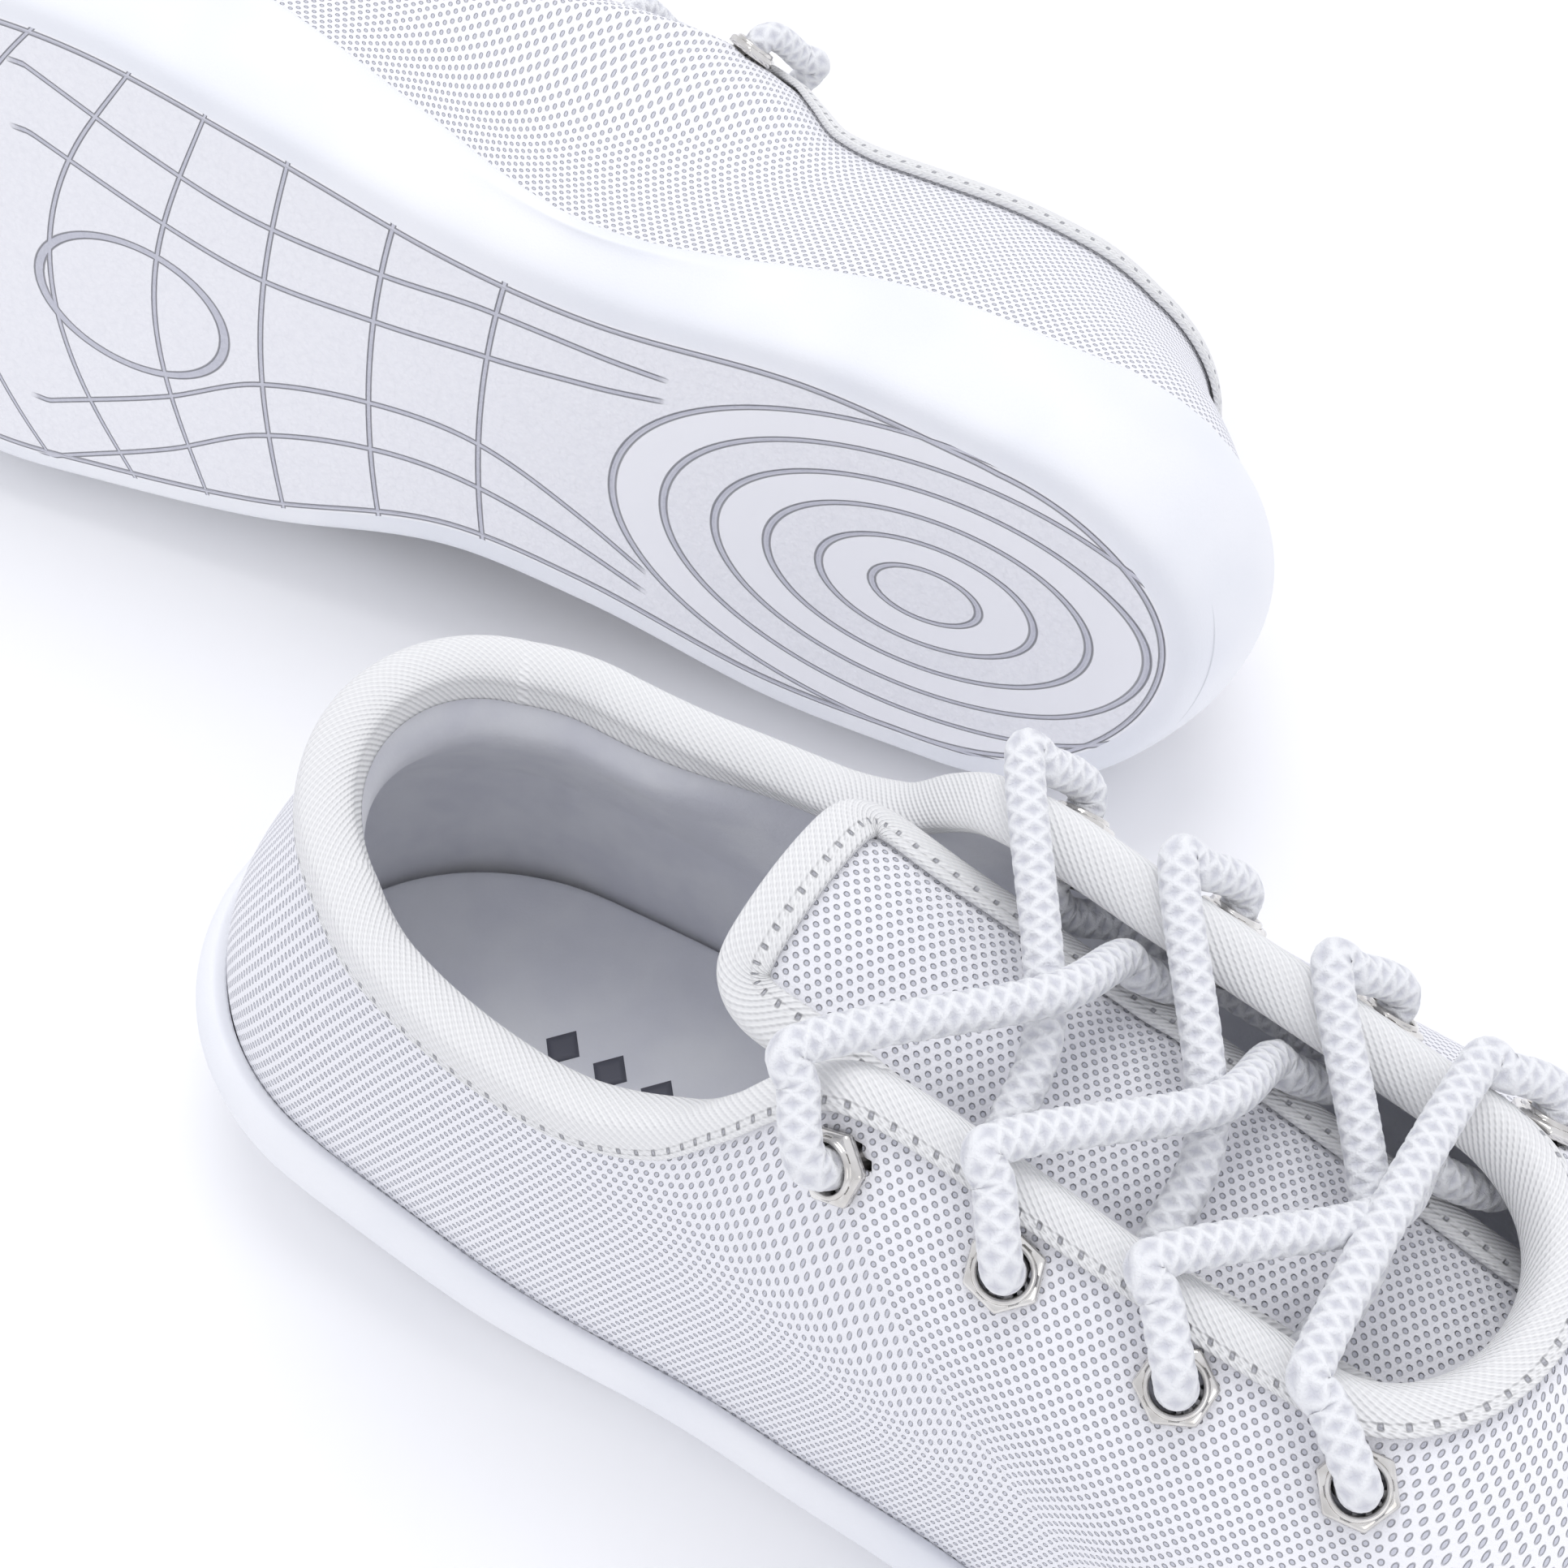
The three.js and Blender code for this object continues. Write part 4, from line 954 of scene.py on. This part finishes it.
def tongue_half(x):
    sides = [
        (TONGUE_TIP, TONGUE_WIDTH * 0.5), (TONGUE_TIP + 9, TONGUE_WIDTH * 0.46),
        (FIRST_EYELET, TONGUE_WIDTH * 0.47), (FIRST_EYELET + EYELET_PITCH, TONGUE_WIDTH * 0.48),
        (TONGUE_ROOT, TONGUE_WIDTH * 0.37),
    ]
    return through(sides, x) * (0.62 + 0.38 * rounded(x - TONGUE_TIP, 7))


def tongue_face(x, across, depth):
    """Point at a depth under the tongue's face: an arc of the tongue's arch across it, under its crest."""
    bend = across / TONGUE_ARCH
    r = TONGUE_ARCH - depth
    return vector(x, TONGUE_MIDDLE + r * np.sin(bend), tongue_crest(x) - TONGUE_ARCH + r * np.cos(bend))


def tongue_layer(side, name, outer, inner, material, crown):
    """Padded sheet of the tongue: thickest along its middle and thinner near its edges."""
    s = np.linspace(0, 1, 150)[:, None]
    x = TONGUE_TIP + (TONGUE_ROOT - TONGUE_TIP) * s
    t = np.linspace(-1, 1, 61)[None, :]
    across = t * tongue_half(x)
    thin = crown * np.clip(np.abs(t), 0, 1) ** 6
    a = tongue_face(x, across, outer + thin)
    b = tongue_face(x, across, inner + np.zeros_like(thin))
    uv = np.stack(np.broadcast_arrays(x, across), -1)
    points, quads, corner_uv = shell(a, b, False, None, uv)
    return piece(side, name, points, quads, corner_uv, MATERIALS[material], body="tongue")


def tongue_binding(side):
    """Tape folded over the tongue's two long edges and its tip, along a smoothed outline."""
    near_tip = TONGUE_TIP + 8 * np.linspace(1, 0, 60) ** 2
    x = np.concatenate([np.linspace(TONGUE_ROOT - 4, TONGUE_TIP + 8.2, 160), near_tip])
    half = tongue_half(x)
    corner = half[-1]
    tip = np.linspace(-corner, corner, 60)[1:-1]
    path = np.concatenate([np.stack([x, -half], 1), np.stack([np.full_like(tip, TONGUE_TIP), tip], 1),
                           np.stack([x, half], 1)[::-1]])
    length = np.concatenate([[0], np.cumsum(np.linalg.norm(np.diff(path, axis=0), axis=1))])
    even = np.linspace(0, length[-1], 620)
    path = np.stack([np.interp(even, length, path[:, i]) for i in (0, 1)], 1)
    for _ in range(60):
        path[1:-1] = (path[:-2] + 2 * path[1:-1] + path[2:]) / 4
    run = unit(np.gradient(path, axis=0))
    thick = TONGUE + GAP + TONGUE_LINING
    section = tape_section(thick, TONGUE_TAPE, TONGUE_TAPE_DROP, TAPE_GAP)
    depth, down = section[None, :, 0], section[None, :, 1]
    points = tongue_face(path[:, :1] + run[:, 1:] * down, path[:, 1:] - run[:, :1] * down, depth)
    points = pinched(points)
    along = np.concatenate([[0], even, [even[-1]]])
    quads, uv = ring_solid(points, False, section_uv(section, along, TONGUE_TAPE_DROP))
    return piece(side, "tongue_binding", points, quads, uv, MATERIALS["tongue_tape"], body="tongue")


# ---- Lace ----

def near(spot, to_throat, out):
    return spot["at"] - spot["down"] * to_throat + spot["out"] * out


def lace_route(spots):
    """Points of the lace: over a facing's edge, in through an eyelet, under the facing and across."""
    radius = LACE / 2
    inner_run = STACK + BACK_SEAT + BACK_FLANGE + GAP + radius
    flange_top = EYELET_SEAT + FLANGE
    over_tape = TAPE + TAPE_GAP + GAP + radius

    def into(spot):
        return [
            near(spot, EYELET_SETBACK + 3.2, over_tape - 0.2),
            near(spot, EYELET_SETBACK - 0.6, over_tape + 0.3),
            near(spot, 3.6, flange_top + radius + GAP + 0.6), near(spot, 0.9, flange_top + radius + GAP),
            near(spot, 0, flange_top + GAP), near(spot, 0, -STACK - BACK_SEAT - BACK_FLANGE - GAP),
        ]

    def beneath(spot):
        return [
            near(spot, 0.9, -inner_run + 0.6), near(spot, 3.2, -inner_run),
            near(spot, EYELET_SETBACK, -inner_run), near(spot, EYELET_SETBACK + 2.6, -inner_run + 0.5),
        ]

    def midway(a, b, raised):
        middle = (a["at"] + b["at"]) / 2
        return np.array([middle[0], TONGUE_MIDDLE, through(LATERAL_HEIGHT, middle[0]) - 1.2 + raised])

    def tail(first, side):
        points = [near(first, -1, -inner_run + 0.7), near(first, -4.5, -inner_run - 0.2)]
        rail = EYELET_SETBACK + 10.5
        for i in range(5):
            angle = angle_at(FIRST_EYELET + 6 + i * TAIL / 4, rail, side)
            points.append(under(angle, face_at(angle, rail), STACK + GAP + radius + 0.4))
        return points

    def half(start, other, side):
        points = into(start[-1])
        here, there, facing = start, other, side
        for i in range(EYELETS - 1, 0, -1):
            facing = -facing
            crossing = midway(here[i], there[i - 1], facing * (radius + GAP / 2))
            points += beneath(here[i]) + [crossing] + into(there[i - 1])
            here, there = there, here
        return points + tail(here[0], facing)

    lateral, medial = spots[:EYELETS], spots[EYELETS:]
    return np.array(half(medial, lateral, -1)[::-1] + half(lateral, medial, 1))


def smooth_path(points, step):
    """Centripetal-like cubic through the points by chord length, sampled at even steps."""
    chord = np.concatenate([[0], np.cumsum(np.sqrt(np.linalg.norm(np.diff(points, axis=0), axis=1)))])
    fine = through(np.concatenate([chord[:, None], points], axis=1), np.linspace(0, chord[-1], 4000))
    length = np.concatenate([[0], np.cumsum(np.linalg.norm(np.diff(fine, axis=0), axis=1))])
    even = np.linspace(0, length[-1], int(length[-1] / step))
    return np.stack([np.interp(even, length, fine[:, i]) for i in range(3)], 1), even


def carried(path):
    """Side directions along a path, each the last one turned as little as possible."""
    tangent = unit(np.gradient(path, axis=0))
    side = unit(np.cross([0, 1.0, 0], tangent[0]))
    sides = []
    for t in tangent:
        side = side - t * (side @ t)
        side = side / np.linalg.norm(side)
        sides.append(side)
    sides = np.array(sides)
    return sides, np.cross(tangent, sides)


def round_tube(side, name, path, length, radius, material):
    """Tube round a path: centre plus radius times cosine and sine of the carried side directions."""
    first, second = carried(path)
    turn = 2 * np.pi * np.arange(radius.shape[1]) / radius.shape[1]
    across = np.cos(turn)[:, None] * first[:, None] + np.sin(turn)[:, None] * second[:, None]
    loops = pinched(path[:, None] + radius[..., None] * across)
    along = np.concatenate([[0], length, [length[-1]]])
    uv = np.stack(np.broadcast_arrays(along[:, None], np.linspace(0, 1, radius.shape[1] + 1)[None, :]), -1)
    quads, corner_uv = ring_solid(loops, False, uv)
    return piece(side, name, loops, quads, corner_uv, MATERIALS[material])


def lace(side, spots):
    """Braided tube: its radius swells where two slanted families of strands ride over each other."""
    route = lace_route(spots)
    path, length = smooth_path(route, 0.3)
    turn = np.arange(32) / 32
    strands = [np.sin(2 * np.pi * (length[:, None] / 2.0 + way * 4 * turn[None, :])) for way in (1, -1)]
    radius = LACE / 2 - 0.1 + 0.1 * np.maximum(*strands)
    round_tube(side, "lace", path, length, radius, "lace")
    for name, end, inner in (("aglet_a", route[0], route[1]), ("aglet_b", route[-1], route[-2])):
        along = unit(end - inner)
        reach = np.linspace(GAP, GAP + AGLET_LENGTH, 40)
        ease = 1 - 0.12 * smoothstep(AGLET_LENGTH - 1.5, AGLET_LENGTH + GAP, reach)
        radius = np.repeat((AGLET / 2 * ease)[:, None], 24, axis=1)
        round_tube(side, name, end + reach[:, None] * along, reach, radius, "film")


def footbed_print(side):
    """Row of plain lozenges printed on the heel of the sockliner: thin raised patches on its top."""
    top = SOLE_FLOOR + GAP + BOARD + GAP + SOCK
    y, long, wide = 2.0, 2.5, 2.9
    for i in range(5):
        x = 45.0 + 7.0 * i
        turn = 2 * np.pi * np.arange(48) / 48
        c, s = np.cos(turn), np.sin(turn)
        rim = np.stack([x + long * c * np.abs(c), y + wide * s * np.abs(s)], 1)
        part = np.array([0, 0.5, 1, 1, 0.5, 0])[:, None]
        lift = np.array([0.06, 0.06, 0.06, -0.02, -0.02, -0.02])[:, None]
        px = x + (rim[None, :, 0] - x) * part
        py = y + (rim[None, :, 1] - y) * part
        points = vector(px, py, top + lift + np.zeros_like(px))
        uv = np.concatenate([points[..., :2], points[:, :1, :2]], axis=1)
        quads, corner_uv = ring_solid(points, False, uv)
        name = f"print_lozenge_{i + 1}"
        piece(side, name, points, quads, corner_uv, MATERIALS["ink"], stands=False)


# ---- One shoe ----

def inner_piece(side, name, angles, heights, depth, material, holes=()):
    """Piece behind the mesh over a range of angles and heights, down to a depth given for each point."""
    angle = np.linspace(*angles, 120)[:, None]
    v = np.linspace(*heights, 50)[None, :]
    front = np.full((120, 50), MESH + GAP)
    back = depth(angle, v)
    return face_layer(side, name, angle, v, front, back, False, material, holes)


def upper(side, spots):
    """Mesh, what stiffens and pads it from behind, and the lining, from the outside in."""
    angle, v = whole_face()
    behind = MESH + GAP + LAYER
    swell = padding(angle, v)
    skin = np.zeros(swell.shape)
    uv = face_uv(angle, v)
    face_layer(side, "upper_mesh", angle, v, skin, skin + MESH, True, "mesh", spots, uv)
    lining = behind + GAP + swell
    face_layer(side, "lining", angle, v, lining, lining + LINING, True, "lining", spots)

    def even(at, height):
        return np.full(np.broadcast(at, height).shape, behind)

    def padded(at, height):
        return behind + padding(at, height) * 0.98

    in_cup, by_edge = (0.0, 0.44), (0.66, 0.99)
    inner_piece(side, "heel_counter", (2.28, 4.0), in_cup, even, "stiffener")
    inner_piece(side, "toe_puff", (-1.05, 1.05), in_cup, even, "stiffener")
    inner_piece(side, "collar_foam", (2.1, 4.18), by_edge, padded, "foam")
    inner_piece(side, "eyestay_lateral", (0.2, 1.6), by_edge, even, "stay", spots[:EYELETS])
    inner_piece(side, "eyestay_medial", (-1.6, -0.2), by_edge, even, "stay", spots[EYELETS:])


def shoe(side):
    """One whole shoe, from the sole up."""
    spots = eyelet_stations()
    unit_sole(side)
    board_inset = UPPER_INSET + STACK + 2 * GAP
    inserted(side, "insole_board", board_inset, GAP, GAP + BOARD, MATERIALS["board"])
    low = GAP + BOARD + GAP
    sock_inset = board_inset + GAP - 0.4
    footbed = inserted(side, "sockliner", sock_inset, low, low + SOCK, MATERIALS["footbed"])
    footbed_print(side)
    upper(side, spots)
    topline_binding(side)
    tongue_layer(side, "tongue", 0.0, TONGUE, "mesh", 0.5)
    under_tongue = TONGUE + GAP
    tongue_layer(side, "tongue_lining", under_tongue, under_tongue + TONGUE_LINING, "lining", 0.0)
    tongue_binding(side)
    lace(side, spots)
    for i, spot in enumerate(spots):
        eyelet(side, spot, 0.4 + 0.7 * i)


for each in ("right", "left"):
    shoe(each)


# ---- Camera, floor and light ----

def camera():
    """Camera over the lateral side of the right shoe, turned by its azimuth, elevation and roll."""
    azimuth, elevation, roll = np.radians([31.77, 50.6, -0.47])
    out = math.cos(elevation)
    back = np.array([math.sin(azimuth) * out, -math.cos(azimuth) * out, math.sin(elevation)])
    level = np.array([math.cos(azimuth), math.sin(azimuth), 0])
    up = np.cross(back, level)
    right = level * math.cos(roll) + up * math.sin(roll)
    top = up * math.cos(roll) - level * math.sin(roll)
    data = bpy.data.cameras.new("camera")
    data.lens = 61.81
    data.sensor_width = 36.0
    data.shift_x = -0.01728
    data.shift_y = -0.00296
    data.clip_start = 0.01
    thing = bpy.data.objects.new("camera", data)
    place = np.eye(4)
    place[:3, 0], place[:3, 1], place[:3, 2] = right, top, back
    place[:3, 3] = (0.0634, -0.1388, 0.2877)
    thing.matrix_world = Matrix(place.tolist())
    bpy.context.scene.collection.objects.link(thing)
    bpy.context.scene.camera = thing


def area_light(name, at, towards, size, watts, colour):
    data = bpy.data.lights.new(name, "AREA")
    data.shape = "DISK"
    data.size = size
    data.energy = watts
    data.color = linear(colour)[:3]
    thing = bpy.data.objects.new(name, data)
    back = unit(np.array(at, float) - np.array(towards, float))
    side = unit(np.cross([0.01, 1, 0.02], back))
    place = np.eye(4)
    place[:3, 0], place[:3, 1], place[:3, 2], place[:3, 3] = side, np.cross(back, side), back, at
    thing.matrix_world = Matrix(place.tolist())
    bpy.context.scene.collection.objects.link(thing)


def floor():
    """Seamless white studio floor: a wide sheet, with a faint unevenness of tone."""
    mesh = bpy.data.meshes.new("floor")
    mesh.from_pydata([(-3, -3, 0), (3, -3, 0), (3, 3, 0), (-3, 3, 0)], [], [(0, 1, 2, 3)])
    thing = bpy.data.objects.new("floor", mesh)
    bpy.context.scene.collection.objects.link(thing)
    material, shader = finish("studio floor", "#fbfbfc", 0.7)
    tint(material, shader, grain(material, 400, 1), "#fafafc", "#fcfcfc")
    mesh.materials.append(material)


camera()
floor()
area_light("overhead", (-0.25, 0.45, 1.4), (0, 0.05, 0), 0.9, 5.5, "#ffffff")
area_light("side", (0.9, -0.7, 0.7), (0, 0.05, 0.03), 0.8, 1.0, "#fdfbf8")
world = bpy.data.worlds.new("studio")
world.use_nodes = True
world.node_tree.nodes["Background"].inputs["Color"].default_value = linear("#f4f5fb")
world.node_tree.nodes["Background"].inputs["Strength"].default_value = 0.95
bpy.context.scene.world = world
bpy.context.scene.view_settings.view_transform = "Standard"
